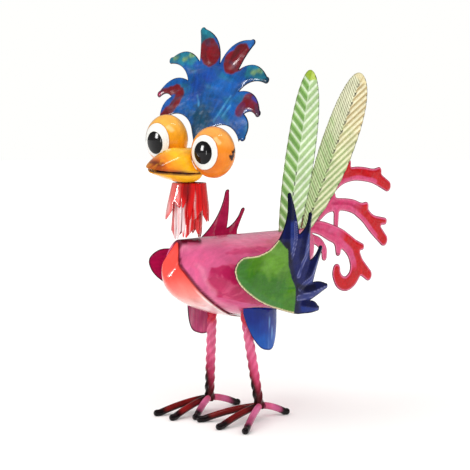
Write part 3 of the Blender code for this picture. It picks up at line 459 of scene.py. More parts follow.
def plate(outline, place, spacing=SPACING, relief=None):
    """Cut sheet metal with rounded edges: a flat outline carried onto a surface and given its thickness."""
    edge = even_steps(outline, spacing * 0.75)
    ahead = np.roll(edge, -1, axis=0) - np.roll(edge, 1, axis=0)
    turn = np.column_stack((-ahead[:, 1], ahead[:, 0])) / np.linalg.norm(ahead, axis=1)[:, None]
    area = np.sum(edge[:, 0] * np.roll(edge[:, 1], -1) - np.roll(edge[:, 0], -1) * edge[:, 1])
    ring = edge + turn * (RIM if area > 0 else -RIM)
    closed = np.vstack((edge, edge[:1]))
    low, high = edge.min(0), edge.max(0)
    rows = np.arange(low[1], high[1], spacing * 0.87)
    grid = np.array([(u, v) for i, v in enumerate(rows)
                     for u in np.arange(low[0] + (i % 2) * spacing / 2, high[0], spacing)])
    ring = ring[inside(edge, ring) & (near_path(ring, closed) > RIM * 0.8)]
    grid = grid[inside(edge, grid)]
    grid = grid[near_path(grid, closed) > RIM + spacing * 0.45]
    points = [Vector(p) for p in np.vstack((edge, ring, grid))]
    flat, _, faces, _, _, _ = delaunay_2d_cdt(points, [], [list(range(len(edge)))], 1, 1e-6)
    flat = np.array(flat)
    u, v = flat[:, 0], flat[:, 1]
    inward = near_path(flat, closed)
    step = 0.05
    du = place(u + step, v) - place(u - step, v)
    dv = place(u, v + step) - place(u, v - step)
    normal = np.cross(du, dv)
    normal /= np.linalg.norm(normal, axis=1)[:, None]
    half = SHEET / 2 * np.sqrt(1 - 0.85 * (1 - np.clip(inward / RIM, 0, 1)) ** 2)
    lift = relief(u, v, inward) if relief else np.zeros(len(u))
    middle = place(u, v)
    front = middle + normal * (lift + half)[:, None]
    back = middle + normal * (lift - half)[:, None]
    count = len(flat)
    solid = []
    used = set()
    for f in faces:
        solid.append(tuple(f))
        solid.append(tuple(i + count for i in reversed(f)))
        used.update(zip(f, f[1:] + f[:1]))
    for a, b in used:
        if (b, a) not in used:
            solid.append((b, a, a + count, b + count))
    both = np.concatenate
    skin = Skin(both((front, back)), solid, u=both((u, u)), v=both((v, v)), edge=both((inward, inward)),
                face=np.repeat((1.0, -1.0), count))
    skin.grain = np.column_stack((skin.marks["u"], skin.marks["v"], skin.marks["face"] * 40))
    return skin


def shell(grid, near, far):
    """A sheet between two distances from a grid of points, thinned to a rounded rim."""
    along = np.gradient(grid, axis=0)
    across = np.gradient(grid, axis=1)
    normal = np.cross(across, along)
    normal /= np.linalg.norm(normal, axis=2)[..., None]
    rows, columns = grid.shape[:2]
    i, j = np.meshgrid(np.arange(rows), np.arange(columns), indexing="ij")
    border = (i == 0) | (j == 0) | (i == rows - 1) | (j == columns - 1)
    middle = (near + far) / 2
    share = np.where(border, 0.4, 1.0)[..., None]
    outer = grid + normal * (middle + (far - middle) * share)
    inner = grid + normal * (middle + (near - middle) * share)
    count = rows * columns
    faces = []
    for a in range(rows - 1):
        for b in range(columns - 1):
            quad = (a * columns + b, a * columns + b + 1, (a + 1) * columns + b + 1, (a + 1) * columns + b)
            faces.append(quad[::-1])
            faces.append(tuple(k + count for k in quad))
    loop = [(0, b) for b in range(columns)] + [(a, columns - 1) for a in range(1, rows)]
    loop += [(rows - 1, b) for b in range(columns - 2, -1, -1)] + [(a, 0) for a in range(rows - 2, 0, -1)]
    ids = [a * columns + b for a, b in loop]
    for a, b in zip(ids, ids[1:] + ids[:1]):
        faces.append((a, b, b + count, a + count))
    points = np.vstack((outer.reshape(-1, 3), inner.reshape(-1, 3)))
    return Skin(points, faces, row=np.tile(i.ravel() / (rows - 1), 2),
                column=np.tile(j.ravel() / (columns - 1), 2), face=np.repeat((1.0, -1.0), count))


def loft(rings):
    """Closed mesh through rings of equal count, capped with a middle point at each end."""
    rings = np.asarray(rings, float)
    rows, count = rings.shape[:2]
    points = np.vstack((rings.reshape(-1, 3), rings[0].mean(0), rings[-1].mean(0)))
    faces = []
    for i in range(rows - 1):
        for k in range(count):
            n = (k + 1) % count
            faces.append((i * count + k, i * count + n, (i + 1) * count + n, (i + 1) * count + k))
    for k in range(count):
        n = (k + 1) % count
        faces.append((rows * count, n, k))
        faces.append((rows * count + 1, (rows - 1) * count + k, (rows - 1) * count + n))
    return points, faces


def reshape(points, faces, cuts=(), cutter=None):
    """Trim a closed mesh by planes and by another closed mesh, and return it welded."""
    bm = bmesh.new()
    verts = [bm.verts.new(p) for p in points]
    for f in faces:
        bm.faces.new([verts[i] for i in f])
    for point, normal in cuts:
        everything = bm.verts[:] + bm.edges[:] + bm.faces[:]
        bmesh.ops.bisect_plane(bm, geom=everything, dist=0.00001, plane_co=point, plane_no=normal,
                               clear_outer=True)
        edges = [e for e in bm.edges if e.is_boundary]
        if edges:
            bmesh.ops.holes_fill(bm, edges=edges, sides=0)
    bmesh.ops.recalc_face_normals(bm, faces=bm.faces[:])
    mesh = bpy.data.meshes.new("working")
    bm.to_mesh(mesh)
    bm.free()
    if cutter is not None:
        thing = bpy.data.objects.new("working", mesh)
        tool = bpy.data.objects.new("tool", cutter)
        for each in (thing, tool):
            bpy.context.scene.collection.objects.link(each)
        step = thing.modifiers.new("cut", "BOOLEAN")
        step.operation = "DIFFERENCE"
        step.solver = "EXACT"
        step.object = tool
        graph = bpy.context.evaluated_depsgraph_get()
        cut = bpy.data.meshes.new_from_object(thing.evaluated_get(graph))
        for each in (thing, tool):
            bpy.data.objects.remove(each, do_unlink=True)
        mesh = cut
    out = np.array([v.co for v in mesh.vertices]).reshape(-1, 3)
    sides = [tuple(p.vertices) for p in mesh.polygons]
    bpy.data.meshes.remove(mesh)
    return out, sides


def cad_tree():
    """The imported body's surface, in working millimetres, for the pieces that stand on it."""
    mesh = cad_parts["body_shell"].data
    points = [np.array(v.co) / MM - ORIGIN for v in mesh.vertices]
    return BVHTree.FromPolygons(points, [tuple(p.vertices) for p in mesh.polygons])


def working_origin():
    """The floor's middle between the feet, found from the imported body's box."""
    low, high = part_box("body_shell")
    return np.array(((low.x + high.x) / 2 / MM, high.y / MM - TAIL_Y, 0.0))


ORIGIN = working_origin()
TREE = cad_tree()


def under_body(x, y):
    hit = TREE.ray_cast(Vector((x, y, 0.0)), Vector((0, 0, 1)))[0]
    return hit.z if hit else None


def over_body(x, y):
    hit = TREE.ray_cast(Vector((x, y, 400.0)), Vector((0, 0, -1)))[0]
    return hit.z if hit else None


def add_piece(node, skin, material, sharp=radians(40)):
    """Make the skin an object that rides on the frame in place of its node."""
    mesh = bpy.data.meshes.new(node + "_finish")
    mesh.from_pydata(((skin.points + ORIGIN) * MM).tolist(), [], [tuple(map(int, f)) for f in skin.faces])
    paint = mesh.attributes.new("paint", "FLOAT_COLOR", "POINT")
    paint.data.foreach_set("color", np.column_stack((skin.colour, np.ones(len(skin.points)))).ravel())
    grain = mesh.attributes.new("grain", "FLOAT_VECTOR", "POINT")
    grain.data.foreach_set("vector", skin.grain.ravel())
    for name in ("edge", "ring", "wear"):
        if name in skin.marks:
            mark = mesh.attributes.new(name, "FLOAT", "POINT")
            mark.data.foreach_set("value", np.asarray(skin.marks[name], float))
    bm = bmesh.new()
    bm.from_mesh(mesh)
    bmesh.ops.recalc_face_normals(bm, faces=bm.faces[:])
    if bm.calc_volume(signed=True) < 0:
        bmesh.ops.reverse_faces(bm, faces=bm.faces[:])
    for face in bm.faces:
        face.smooth = True
    for edge in bm.edges:
        if len(edge.link_faces) == 2 and edge.calc_face_angle(0.0) > sharp:
            edge.smooth = False
    bm.to_mesh(mesh)
    bm.free()
    mesh.materials.append(material)
    thing = bpy.data.objects.new(node + "_finish", mesh)
    bpy.context.scene.collection.objects.link(thing)
    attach(thing, "root")
    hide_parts(node)
    return thing


# materials


class Nodes:
    """Short calls for building a material's tree."""

    def __init__(self, name):
        self.material = bpy.data.materials.new(name)
        self.material.use_nodes = True
        self.tree = self.material.node_tree
        self.shader = self.tree.nodes["Principled BSDF"]

    def add(self, kind, **settings):
        node = self.tree.nodes.new(kind)
        for key, value in settings.items():
            setattr(node, key, value)
        return node

    def put(self, socket, value):
        if isinstance(value, bpy.types.NodeSocket):
            self.tree.links.new(value, socket)
        elif hasattr(value, "__len__") and len(value) == 3 and len(socket.default_value) == 4:
            socket.default_value = (*value, 1.0)
        else:
            socket.default_value = value

    def mark(self, name, output="Fac"):
        return self.add("ShaderNodeAttribute", attribute_name=name).outputs[output]

    def noise(self, place, scale, detail=3.0, rough=0.55, twist=0.0):
        node = self.add("ShaderNodeTexNoise")
        self.put(node.inputs["Vector"], place)
        node.inputs["Scale"].default_value = scale
        node.inputs["Detail"].default_value = detail
        node.inputs["Roughness"].default_value = rough
        node.inputs["Distortion"].default_value = twist
        return node.outputs["Fac"]

    def span(self, value, low, high, to_low=0.0, to_high=1.0, soft=True):
        node = self.add("ShaderNodeMapRange", interpolation_type="SMOOTHSTEP" if soft else "LINEAR")
        self.put(node.inputs["Value"], value)
        for key, number in (("From Min", low), ("From Max", high), ("To Min", to_low), ("To Max", to_high)):
            self.put(node.inputs[key], number)
        return node.outputs["Result"]

    def sum(self, a, b, operation="ADD"):
        node = self.add("ShaderNodeMath", operation=operation)
        self.put(node.inputs[0], a)
        self.put(node.inputs[1], b)
        return node.outputs[0]

    def blend(self, share, a, b, mode="MIX"):
        node = self.add("ShaderNodeMix", data_type="RGBA", blend_type=mode)
        self.put(node.inputs["Factor"], share)
        self.put(node.inputs[6], a)
        self.put(node.inputs[7], b)
        return node.outputs[2]

    def scale(self, vector, share):
        node = self.add("ShaderNodeVectorMath", operation="SCALE")
        self.put(node.inputs[0], vector)
        self.put(node.inputs["Scale"], share)
        return node.outputs["Vector"]

    def stretch(self, place, scale):
        node = self.add("ShaderNodeMapping")
        self.put(node.inputs["Vector"], place)
        node.inputs["Scale"].default_value = scale
        return node.outputs["Vector"]

    def bump(self, height, distance, strength=1.0, under=None):
        node = self.add("ShaderNodeBump")
        node.inputs["Strength"].default_value = strength
        node.inputs["Distance"].default_value = distance
        self.put(node.inputs["Height"], height)
        if under is not None:
            self.put(node.inputs["Normal"], under)
        return node.outputs["Normal"]

    def gloss(self, coat, rough, index, specular):
        """Clear coat over the paint, and how strongly the paint below shines by itself."""
        self.put(self.shader.inputs["Coat Weight"], coat)
        self.put(self.shader.inputs["Coat Roughness"], rough)
        self.put(self.shader.inputs["Coat IOR"], index)
        self.put(self.shader.inputs["Specular IOR Level"], specular)


def enamel(name, drift=0.14, streak=(0.5, 0.07, 0.5), streak_depth=0.16, tint=None, tint_share=0.35, rim=None,
           rim_width=0.7, rough=(0.16, 0.34), dent=0.00012, coat=0.7):
    """Hand-laid gloss enamel: painted colour with drift, brush streaks, dark worn edges and soft dents."""
    n = Nodes(name)
    colour = n.mark("paint", "Color")
    place = n.mark("grain", "Vector")
    cloud = n.noise(place, 0.055, 4.0)
    fine = n.noise(place, 0.42, 5.0, 0.62, 0.6)
    brush = n.noise(n.stretch(place, streak), 1.0, 4.0, 0.6, 0.3)
    if tint is not None:
        share = n.span(n.noise(place, 0.09, 3.0, 0.5, 0.8), 0.5, 0.7, 0.0, tint_share)
        colour = n.blend(share, colour, tint)
    light = n.span(cloud, 0.3, 0.7, 1 - drift, 1 + drift, False)
    light = n.sum(light, n.span(brush, 0.3, 0.7, 1 - streak_depth, 1 + streak_depth, False), "MULTIPLY")
    light = n.sum(light, n.span(fine, 0.25, 0.75, 0.95, 1.05, False), "MULTIPLY")
    colour = n.scale(colour, light)
    if rim is not None:
        reach = n.sum(n.mark("edge"), n.span(fine, 0.3, 0.7, -0.25, 0.35, False), "SUBTRACT")
        worn = n.span(reach, rim_width * 0.35, rim_width, 1.0, 0.0)
        colour = n.blend(worn, colour, rim)
    n.put(n.shader.inputs["Base Color"], colour)
    n.put(n.shader.inputs["Roughness"], n.span(n.noise(place, 0.16, 4.0), 0.3, 0.7, *rough, False))
    soft = n.bump(n.noise(place, 0.075, 2.0), dent * 6)
    n.put(n.shader.inputs["Normal"], n.bump(n.noise(place, 0.9, 3.0), dent * 0.35, 0.5, soft))
    n.gloss(coat, 0.05, 1.38, 0.12)
    return n.material


# body and breast


def body_section(t):
    """Top point, bottom point and half width of the body section at t, from breast 0 to tail 1."""
    if t < BELLY_AT:
        share = t / BELLY_AT
        q = share * pi / 2
        power = 2 / BODY_FULLNESS
        bottom = np.array((0, BELLY_Y - (BELLY_Y - NOSE_Y) * cos(q) ** power,
                           NOSE_Z - (NOSE_Z - BELLY_Z) * sin(q) ** power))
        top_y = COLLAR_Y + (BELLY_Y - COLLAR_Y) * share
    else:
        share = (t - BELLY_AT) / (1 - BELLY_AT)
        top_y = BELLY_Y + (TAIL_Y - BELLY_Y) * share
        bottom = np.array((0, top_y, BELLY_Z + (TAIL_BOTTOM_Z - BELLY_Z) * share ** UNDERSIDE_RISE))
    top = np.array((0, top_y, BACK_Z))
    if t < WIDEST_AT:
        swell = (1 - (1 - t / WIDEST_AT) ** FRONT_SWELL[0]) ** FRONT_SWELL[1]
        width = NOSE_HALF_WIDTH + (BODY_HALF_WIDTH - NOSE_HALF_WIDTH) * swell
    else:
        swell = (1 - ((t - WIDEST_AT) / (1 - WIDEST_AT)) ** REAR_TAPER[0]) ** REAR_TAPER[1]
        width = TAIL_HALF_WIDTH + (BODY_HALF_WIDTH - TAIL_HALF_WIDTH) * swell
    return top, bottom, width


def body_point(t, phi, inset=0.0):
    """Point on the body section at t, turned phi round from its bottom, drawn in by the inset."""
    top, bottom, width = body_section(t)
    point = bottom + (top - bottom) * (1 - cos(phi)) / 2
    point[0] = width * sin(phi)
    middle = (top + bottom) / 2
    away = point - middle
    return point - away / max(np.linalg.norm(away), 1e-6) * inset


def leaf_angle(t):
    """Half angle the breast plate covers on the body section at t."""
    knots = np.linspace(0, LEAF_END_AT, len(LEAF_HALF_WIDTHS))
    angles = [asin(min(half / body_section(k)[2], 0.97)) for k, half in zip(knots, LEAF_HALF_WIDTHS)]
    return max(LEAF_LEAST_ANGLE, float(np.interp(t, knots, angles)))


def paint_body(skin):
    """Airbrushed pinks, painted highlights and reflection, and painted shade: under the wing, a wine collar
    patch and a dark line along the breast plate's edge.
    """
    x, y, z = skin.points.T
    flow = wander(skin.points, 26.0, 3)
    ragged = np.column_stack((y + wander(skin.points, 13.0, 7) * 1.5, z + wander(skin.points, 11.0, 9) * 1.5))
    skin.coat(PINK)
    skin.lay(smooth(y + flow * 8 + (z - 140) * 0.3, -30, 30) * 0.55, WARM_PINK)
    # painted highlight along the top ridge
    skin.lay(smooth(z + flow * 1.5, 149, 158) * 0.8, PALE_PINK)
    # painted reflection of the floor, paler low down
    skin.lay(falling(z, 92, 108) * 0.5, PALE_PINK)
    # darker crimson patch: painted shade cast by the wing
    skin.lay(patch(ragged, WING_SHADOW_PATCH, 1.2) * 0.9, CRIMSON)
    skin.lay(patch(ragged, BODY_STREAK, 2.0) * 0.55, CRIMSON)
    # thin pale line: painted highlight near the breast plate
    skin.lay(falling(near_path(ragged, BODY_HIGHLIGHT_LINE), 0.4, 3.4) * 0.5, PALE_PINK)
    skin.lay(falling(z + flow * 2, 88, 91.5) * 0.5, CRIMSON)
    skin.lay(smooth(y + flow * 2, 70, 92) * 0.5, CRIMSON)
    # wine patch round the neck's foot: painted shade where the neck meets the body
    collar = np.hypot(x - NECK_X, (y - NECK_Y + 5.0) * 0.8) + flow * 2.5
    skin.lay(falling(collar, 11.0, 13.0) * smooth(z, 154, 158), WINE)
    # dark line beside the breast plate: painted shade along the seam
    grid = breast_grid()
    beside = np.minimum(near_path(skin.points, grid[::3, 0]), near_path(skin.points, grid[::3, -1]))
    skin.lay(falling(beside, 1.5, 2.6) * 0.85, WINE)


def make_body():
    shares = np.linspace(0, 1, BODY_ROWS)
    angles = np.linspace(0, 2 * pi, BODY_COLUMNS, endpoint=False)
    skin = Skin(*loft([[body_point(t, a, BODY_INSET) for a in angles] for t in shares]))
    paint_body(skin)
    add_piece("body_shell", skin, enamel("body_enamel", 0.10, (0.30, 0.035, 0.12), 0.12, ROSE, 0.5,
                                         rough=(0.14, 0.28), dent=0.00022), radians(50))


def breast_grid():
    """Middle surface of the breast plate, from its point at the collar down to its end between the legs."""
    top, bottom, _ = body_section(0.0)
    tip = bottom + (top - bottom) * LEAF_TIP_AT
    across = np.linspace(-1, 1, LEAF_COLUMNS + 1)
    first = np.array([body_point(0.0, leaf_angle(0.0) * a) for a in across]) - tip
    rows = []
    for share in np.linspace(LEAF_TIP_SHARE, 1, LEAF_POINT_ROWS)[:-1]:
        rows.append(tip + first * (share ** LEAF_POINT_POWER, share, share))
    for t in np.linspace(0, LEAF_END_AT, LEAF_ROWS):
        half = leaf_angle(t)
        rows.append([body_point(t, half * a) for a in across])
    grid = np.array(rows)
    # the bend over the front of the body is beaten round instead of folded
    bend = np.exp(-((np.arange(len(grid)) - LEAF_POINT_ROWS + 1) / 9.0) ** 2)
    grid += bend[:, None, None] * np.array((0.0, -1.0, 0.2))
    for _ in range(30):
        grid[1:-1] = (grid[:-2] + 2 * grid[1:-1] + grid[2:]) / 4
    return grid


def make_breast():
    grid = breast_grid()
    skin = shell(grid, -GAP, -GAP - SHEET)
    x, _, z = skin.points.T
    flow = wander(skin.points, 22.0, 5)
    widths = np.linalg.norm(grid[:, -1] - grid[:, 0], axis=1)
    reach = np.interp(skin.marks["row"] * (len(grid) - 1), np.arange(len(grid)), widths)
    side = (0.5 - np.abs(skin.marks["column"] - 0.5)) * reach
    skin.coat(CORAL)
    # peach and blush low down: painted reflection of the floor, whiter towards the lit side
    skin.lay(falling(z + flow * 2.5, 102, 130) * 0.9, PEACH)
    skin.lay(falling(z + flow * 2 - x * 0.3, 94, 114) * 0.8, BLUSH)
    skin.lay(smooth(z, 146, 158) * 0.4, RED)
    skin.lay(smooth(skin.marks["row"] + flow * 0.01, 0.93, 0.97) * 0.6, RED)
    # white line inside the lower edge: painted highlight
    low = falling(z, 108, 122)
    skin.lay(falling(np.abs(side - 1.6), 0.4, 1.0) * low * 0.8, WHITE)
    # dark red edge: painted shade along the seam with the body
    skin.lay(falling(side, 0.35, 1.0) * 0.9, DARK_RED)
    skin.marks["edge"] = side
    add_piece("breast_shell", skin, enamel("breast_enamel", 0.08, (0.2, 0.05, 0.05), 0.08, SALMON, 0.3,
                                           rough=(0.14, 0.26), dent=0.00015))


# head


def head_axes():
    side = np.array((cos(HEAD_ROLL), 0, -sin(HEAD_ROLL)))
    up = np.array((sin(HEAD_ROLL), 0, cos(HEAD_ROLL)))
    back = np.array((0, 1.0, 0))
    return side, back, up


def head_point(s, f, u):
    """Point to the bird's left, forward and up from the middle of the eyes."""
    side, back, up = head_axes()
    return EYE_MIDDLE + side * s - back * f + up * u


def head_places(points):
    """How far points lie to the bird's left, forward and up from the middle of the eyes."""
    side, back, up = head_axes()
    away = points - EYE_MIDDLE
    return away @ side, -(away @ back), away @ up


def eye_rings(where, extra, levels, sides, white=EYE_WHITE_RADIUS):
    rings = []
    for level in levels:
        depth = EYE_FRONT if level < pi / 2 else EYE_BACK
        r = sin(level) * (EYE_RADIUS + extra)
        raised = 0.0
        if level < pi / 2:
            raised = 0.3 * float(falling(r, white - 2.5, white + 2.5))
        f = cos(level) * (depth + extra + raised)
        rings.append([head_point(where + r * cos(a), f, r * sin(a))
                      for a in np.linspace(0, 2 * pi, sides, endpoint=False)])
    return rings


def eye_material(name):
    """Orange dome with a white disc and a black pupil whose borders are cut clean."""
    n = Nodes(name)
    place = n.mark("grain", "Vector")
    ring = n.mark("ring")
    cloud = n.noise(place, 0.07, 3.0, 0.5, 0.7)
    brush = n.noise(n.stretch(place, (0.1, 0.3, 0.1)), 1.0, 4.0)
    light = n.span(cloud, 0.3, 0.7, 0.86, 1.12, False)
    light = n.sum(light, n.span(brush, 0.3, 0.7, 0.9, 1.08, False), "MULTIPLY")
    dome = n.scale(n.mark("paint", "Color"), light)
    wobble = n.sum(ring, n.span(n.noise(place, 0.35, 2.0), 0.3, 0.7, -0.12, 0.12, False))
    past_white = n.sum(wobble, EYE_WHITE_RADIUS, "SUBTRACT")
    white = n.blend(n.span(cloud, 0.35, 0.75), WHITE, PALE_GREY)
    colour = n.blend(n.span(past_white, -0.2, 0.15), white, dome)
    line = n.sum(n.span(past_white, -0.1, 0.25), n.span(past_white, 0.3, 0.75, 1.0, 0.0), "MULTIPLY")
    colour = n.blend(n.sum(line, 0.55, "MULTIPLY"), colour, RUST)
    dark = n.blend(n.span(ring, 2.0, PUPIL_RADIUS), CHARCOAL, BLACK)
    colour = n.blend(n.span(wobble, PUPIL_RADIUS - 0.2, PUPIL_RADIUS + 0.2, 1.0, 0.0), colour, dark)
    n.put(n.shader.inputs["Base Color"], colour)
    n.put(n.shader.inputs["Roughness"], n.span(n.noise(place, 0.2, 3.0), 0.3, 0.7, 0.10, 0.22, False))
    n.put(n.shader.inputs["Normal"], n.bump(n.noise(place, 0.12, 3.0), 0.0004))
    n.gloss(1.0, 0.03, 1.28, 0.04)
    return n.material


def eye_ring_mark(s, f, u, eye):
    """Distance from the middle of the pupil or of the white, in one measure for both."""
    pupil = np.hypot(s - eye["pupil at"][0], u - eye["pupil at"][1])
    disc = np.hypot(s - eye["white at"][0], u - eye["white at"][1])
    ring = np.maximum(disc / eye["white"] * EYE_WHITE_RADIUS, PUPIL_RADIUS + 0.4)
    ring = np.where(pupil < PUPIL_RADIUS + 0.4, pupil, ring)
    return np.where(f > 0, ring, 60.0)


def paint_eye(skin, s, f, u, paint, outward):
    """Dome with a painted highlight above and burnt in front, a dark scar on the outer side and a soft
    painted glint.
    """
    flow = wander(skin.points, 14.0, 8)
    skin.coat(paint)
    # paler above: painted highlight on the top of the dome
    skin.lay(smooth(u + flow * 3, 6, 17) * 0.4, APRICOT)
    skin.lay(smooth(f + flow * 2, 2, 12) * falling(u, -6, 8) * 0.5, BURNT)
    skin.lay(falling(u + flow * 2, -20, -8) * 0.45, COPPER)
    scar = near_path(np.column_stack((f, u)), EYE_SCAR) + wander(skin.points, 2.6, 11) * 0.9
    skin.lay(falling(scar, 1.0, 2.0) * smooth(s * outward, 12, 15), SOOT)
    glint = near_path(np.column_stack((s, u)), EYE_GLINT) + wander(skin.points, 5.0, 13) * 0.4
    skin.lay(falling(glint, 0.7, 1.8) * smooth(f, 2, 5) * 0.55, PALE_AMBER)


def make_eyes():
    material = eye_material("eye_enamel")
    levels = np.linspace(0.02, pi - 0.02, 150)
    for name, outward, paint, eye in (("eye_left", 1, ORANGE, LEFT_EYE), ("eye_right", -1, AMBER, RIGHT_EYE)):
        where = EYE_HALF_SPACING * outward
        skin = Skin(*loft(eye_rings(where, 0.0, levels, 112, eye["white"])))
        s, f, u = head_places(skin.points)
        paint_eye(skin, s - where, f, u, paint, outward)
        skin.marks["ring"] = eye_ring_mark(s - where, f, u, eye)
        add_piece(name, skin, material, radians(60))


def crest_place(u, v):
    """Flat crest places, to the bird's left and up, carried onto the leaning crest."""
    side, back, up = head_axes()
    rise = up * cos(CREST_LEAN) + back * sin(CREST_LEAN)
    return EYE_MIDDLE + back * CREST_BEHIND_EYES + np.multiply.outer(u, side) + np.multiply.outer(v, rise)


def swept_edge(a, b, outward, swell, steps):
    """Points from a towards b, end point left out, on a curve that bows by the swell to the outward side."""
    run = (b - a) / np.linalg.norm(b - a)
    away = np.array((run[1], -run[0]))
    if away @ outward < 0:
        away = -away
    middle = (a + b) / 2 + away * swell * 2
    shares = [k / steps for k in range(steps)]
    return [a * (1 - t) ** 2 + middle * 2 * t * (1 - t) + b * t * t for t in shares]


def finger(start, tip, end, radius, swell_out, swell_back, steps=14):
    """Edge of a rounded finger from one valley over its tip to the next valley, without the end point."""
    start, tip, end = (np.array(p, float) for p in (start, tip, end))
    root = (start + end) / 2
    axis = (tip - root) / np.linalg.norm(tip - root)
    side = np.array((axis[1], -axis[0]))
    if (start - end) @ side < 0:
        side = -side
    centre = tip - axis * radius
    out = swept_edge(start, centre + side * radius, side, swell_out, steps)
    for k in range(12):
        turn = pi * k / 12
        out.append(centre + side * radius * cos(turn) + axis * radius * sin(turn))
    return out + swept_edge(centre - side * radius, end, -side, swell_back, steps)


def fingers(valleys, tips, swells, radius):
    out = []
    for i, tip in enumerate(tips):
        out += finger(valleys[i], tip, valleys[i + 1], radius, swells[i][0], swells[i][1])
    return out


def arch_point(turn):
    """Point on the arch that clears an eye, in the crest's own plane."""
    return np.array((ARCH_CENTRE + ARCH_RADIUS * cos(turn), ARCH_RADIUS * sin(turn)))


def crest_half(tips):
    """One half drawn from the middle notch round the fingers and the eye arch to the stem."""
    half = fingers(CREST_VALLEYS + (arch_point(ARCH_START),), tips, CREST_SWELL, CREST_TIP_RADIUS)
    half += [arch_point(turn) for turn in np.linspace(ARCH_START, ARCH_END, 40)]
    half.append(np.array((STEM_HALF_WIDTH, 3.0)))
    half.append(np.array((STEM_HALF_WIDTH, -STEM_LENGTH)))
    return half


def finger_creases(valleys, tips, mirror=1.0):
    """Middle lines of the fingers, from a little inside their roots to just short of their tips."""
    lines = []
    for a, b, tip in zip(valleys, valleys[1:], tips):
        root = (np.array(a) + np.array(b)) / 2
        tip = np.array(tip)
        inner = root - (tip - root) * 0.25
        outer = root + (tip - root) * 0.93
        lines.append(np.array((inner, root, outer)) * (mirror, 1.0))
    return lines


def crest_relief(lines):
    def relief(u, v, inward):
        places = np.column_stack((u, v))
        total = wander(places, 34.0, 21) * 0.5
        for line in lines:
            grown = smooth(np.linalg.norm(places - line[0], axis=1), 0.0, 18.0)
            away = near_path(places, line)
            total = total + 0.75 * np.exp(-(away / 3.2) ** 2) * smooth(inward, 0.2, 3.0) * grown
        return total
    return relief


def paint_crest(skin, places):
    """Mottled blues with maroon bands, teal and moss tips and a few pale painted highlight streaks."""
    skin.coat(BLUE)
    skin.lay(smooth(wander(places, 24.0, 4), -0.1, 0.7) * 0.22, ROYAL)
    skin.lay(smooth(wander(places, 18.0, 6), 0.1, 0.9) * 0.5, TEAL)
    skin.stroke(((-18, 46), (-16, 54)), 6, 7, ROYAL, 0.6)
    skin.stroke(((-6, 62), (-3, 70)), 5, 6, ROYAL, 0.5)
    skin.stroke(((-3, 26), (-2, 12), (0, -5)), 5, 12, DEEP_TEAL, 0.9)
    # thin pale blue strokes: painted highlight streaks
    for line in (((18, 34), (24, 48)), ((14, 24), (20, 38)), ((22, 30), (27, 40)), ((-9, 34), (-14, 42))):
        skin.stroke(line, 0.4, 1.2, SKY, 0.55)
    # upper fingers: teal tips over maroon bands
    skin.stroke(((-28, 97), (-23, 90)), 6, 3, TEAL, 0.95)
    skin.stroke(((-12.5, 78), (-18.5, 82.5)), 9.4, 1.2, MAROON)
    skin.stroke(((-13, 76), (-16, 82)), 2.0, 3.0, DARK_RED, 0.5)
    skin.stroke(((27, 94), (23, 89)), 6, 3, AZURE, 0.9)
    skin.stroke(((14.5, 76), (20, 79), (21.5, 83)), 9.8, 1.2, MAROON)
    skin.stroke(((13, 80), (16, 86)), 1.6, 2.4, SOOT, 0.5)
    # side fingers: teal with moss dabs
    skin.stroke(((-56, 69), (-42, 71), (-32, 73)), 3, 5, TEAL, 0.9)
    for u, v in ((-54, 69), (-43, 70), (-36, 74)):
        skin.stroke(((u, v), (u + 3, v + 0.5)), 0.8, 2.4, MOSS, 0.75)
    skin.stroke(((38, 71), (48, 72), (57, 67)), 3, 5, TEAL, 0.9)
    for u, v in ((40, 71), (47, 73)):
        skin.stroke(((u, v), (u + 3, v - 0.5)), 0.8, 2.4, MOSS, 0.7)
    skin.stroke(((57, 66), (60, 68)), 1.4, 2.0, INK, 0.8)
    # the red sweep round the valley between the bird's two lower right fingers
    skin.stroke(CREST_SWEEP, 3.7, 1.4, MAROON)
    skin.stroke(((-44, 22), (-47, 17)), 4.5, 1.8, MAROON, 0.9)
    skin.stroke(((-58, 33), (-60, 36)), 1.0, 1.6, CRIMSON, 0.7)
    # purple and maroon on the bird's two lower left fingers
    skin.stroke(((46, 47), (54, 48), (61, 41)), 5.6, 2.6, MAROON, 0.95)
    skin.stroke(((50, 51), (58, 49), (62, 44)), 1.6, 2.0, ROYAL, 0.8)
    skin.stroke(((43, 44), (39, 37)), 3.4, 1.8, MAROON, 0.95)
    skin.stroke(((41, 40), (40, 36)), 3.2, 2.4, PURPLE, 0.6)
    skin.stroke(((52, 46), (55, 44)), 1.0, 2.0, MAROON, 0.8)


def make_crest():
    valleys = CREST_VALLEYS + (arch_point(ARCH_START),)
    lines = finger_creases(valleys, CREST_LEFT_TIPS) + finger_creases(valleys, CREST_RIGHT_TIPS, -1.0)
    outline = crest_half(CREST_LEFT_TIPS) + [p * (-1, 1) for p in crest_half(CREST_RIGHT_TIPS)[:0:-1]]
    skin = plate(outline, crest_place, relief=crest_relief(lines))
    u, v = skin.marks["u"], skin.marks["v"]
    paint_crest(skin, np.column_stack((u, v)))
    skin.grain = np.column_stack((np.arctan2(u, v + 25) * 45, np.hypot(u, v + 25), skin.marks["face"] * 40))
    add_piece("crest", skin, enamel("crest_enamel", 0.22, (0.42, 0.075, 0.5), 0.30, DEEP_TEAL, 0.5, INK, 0.75,
                                    (0.2, 0.4), 0.0002, coat=0.45), radians(45))


def beak_ridge(f):
    """Height of the top of the upper beak above its lower edge, f forward of the eyes."""
    level = MOUTH_DROP + BEAK_RIDGE
    if f <= BEAK_LEVEL:
        return level
    share = (f - BEAK_LEVEL) / (BEAK_LENGTH - BEAK_LEVEL)
    return level * (1 - share ** 1.4) ** 0.95 + 0.9 * share


def beak_half_width(f, length, half):
    share = max(f, 0.0) / length
    return max(half * sqrt(max(1 - share ** 1.9, 0.0)), 1.3)


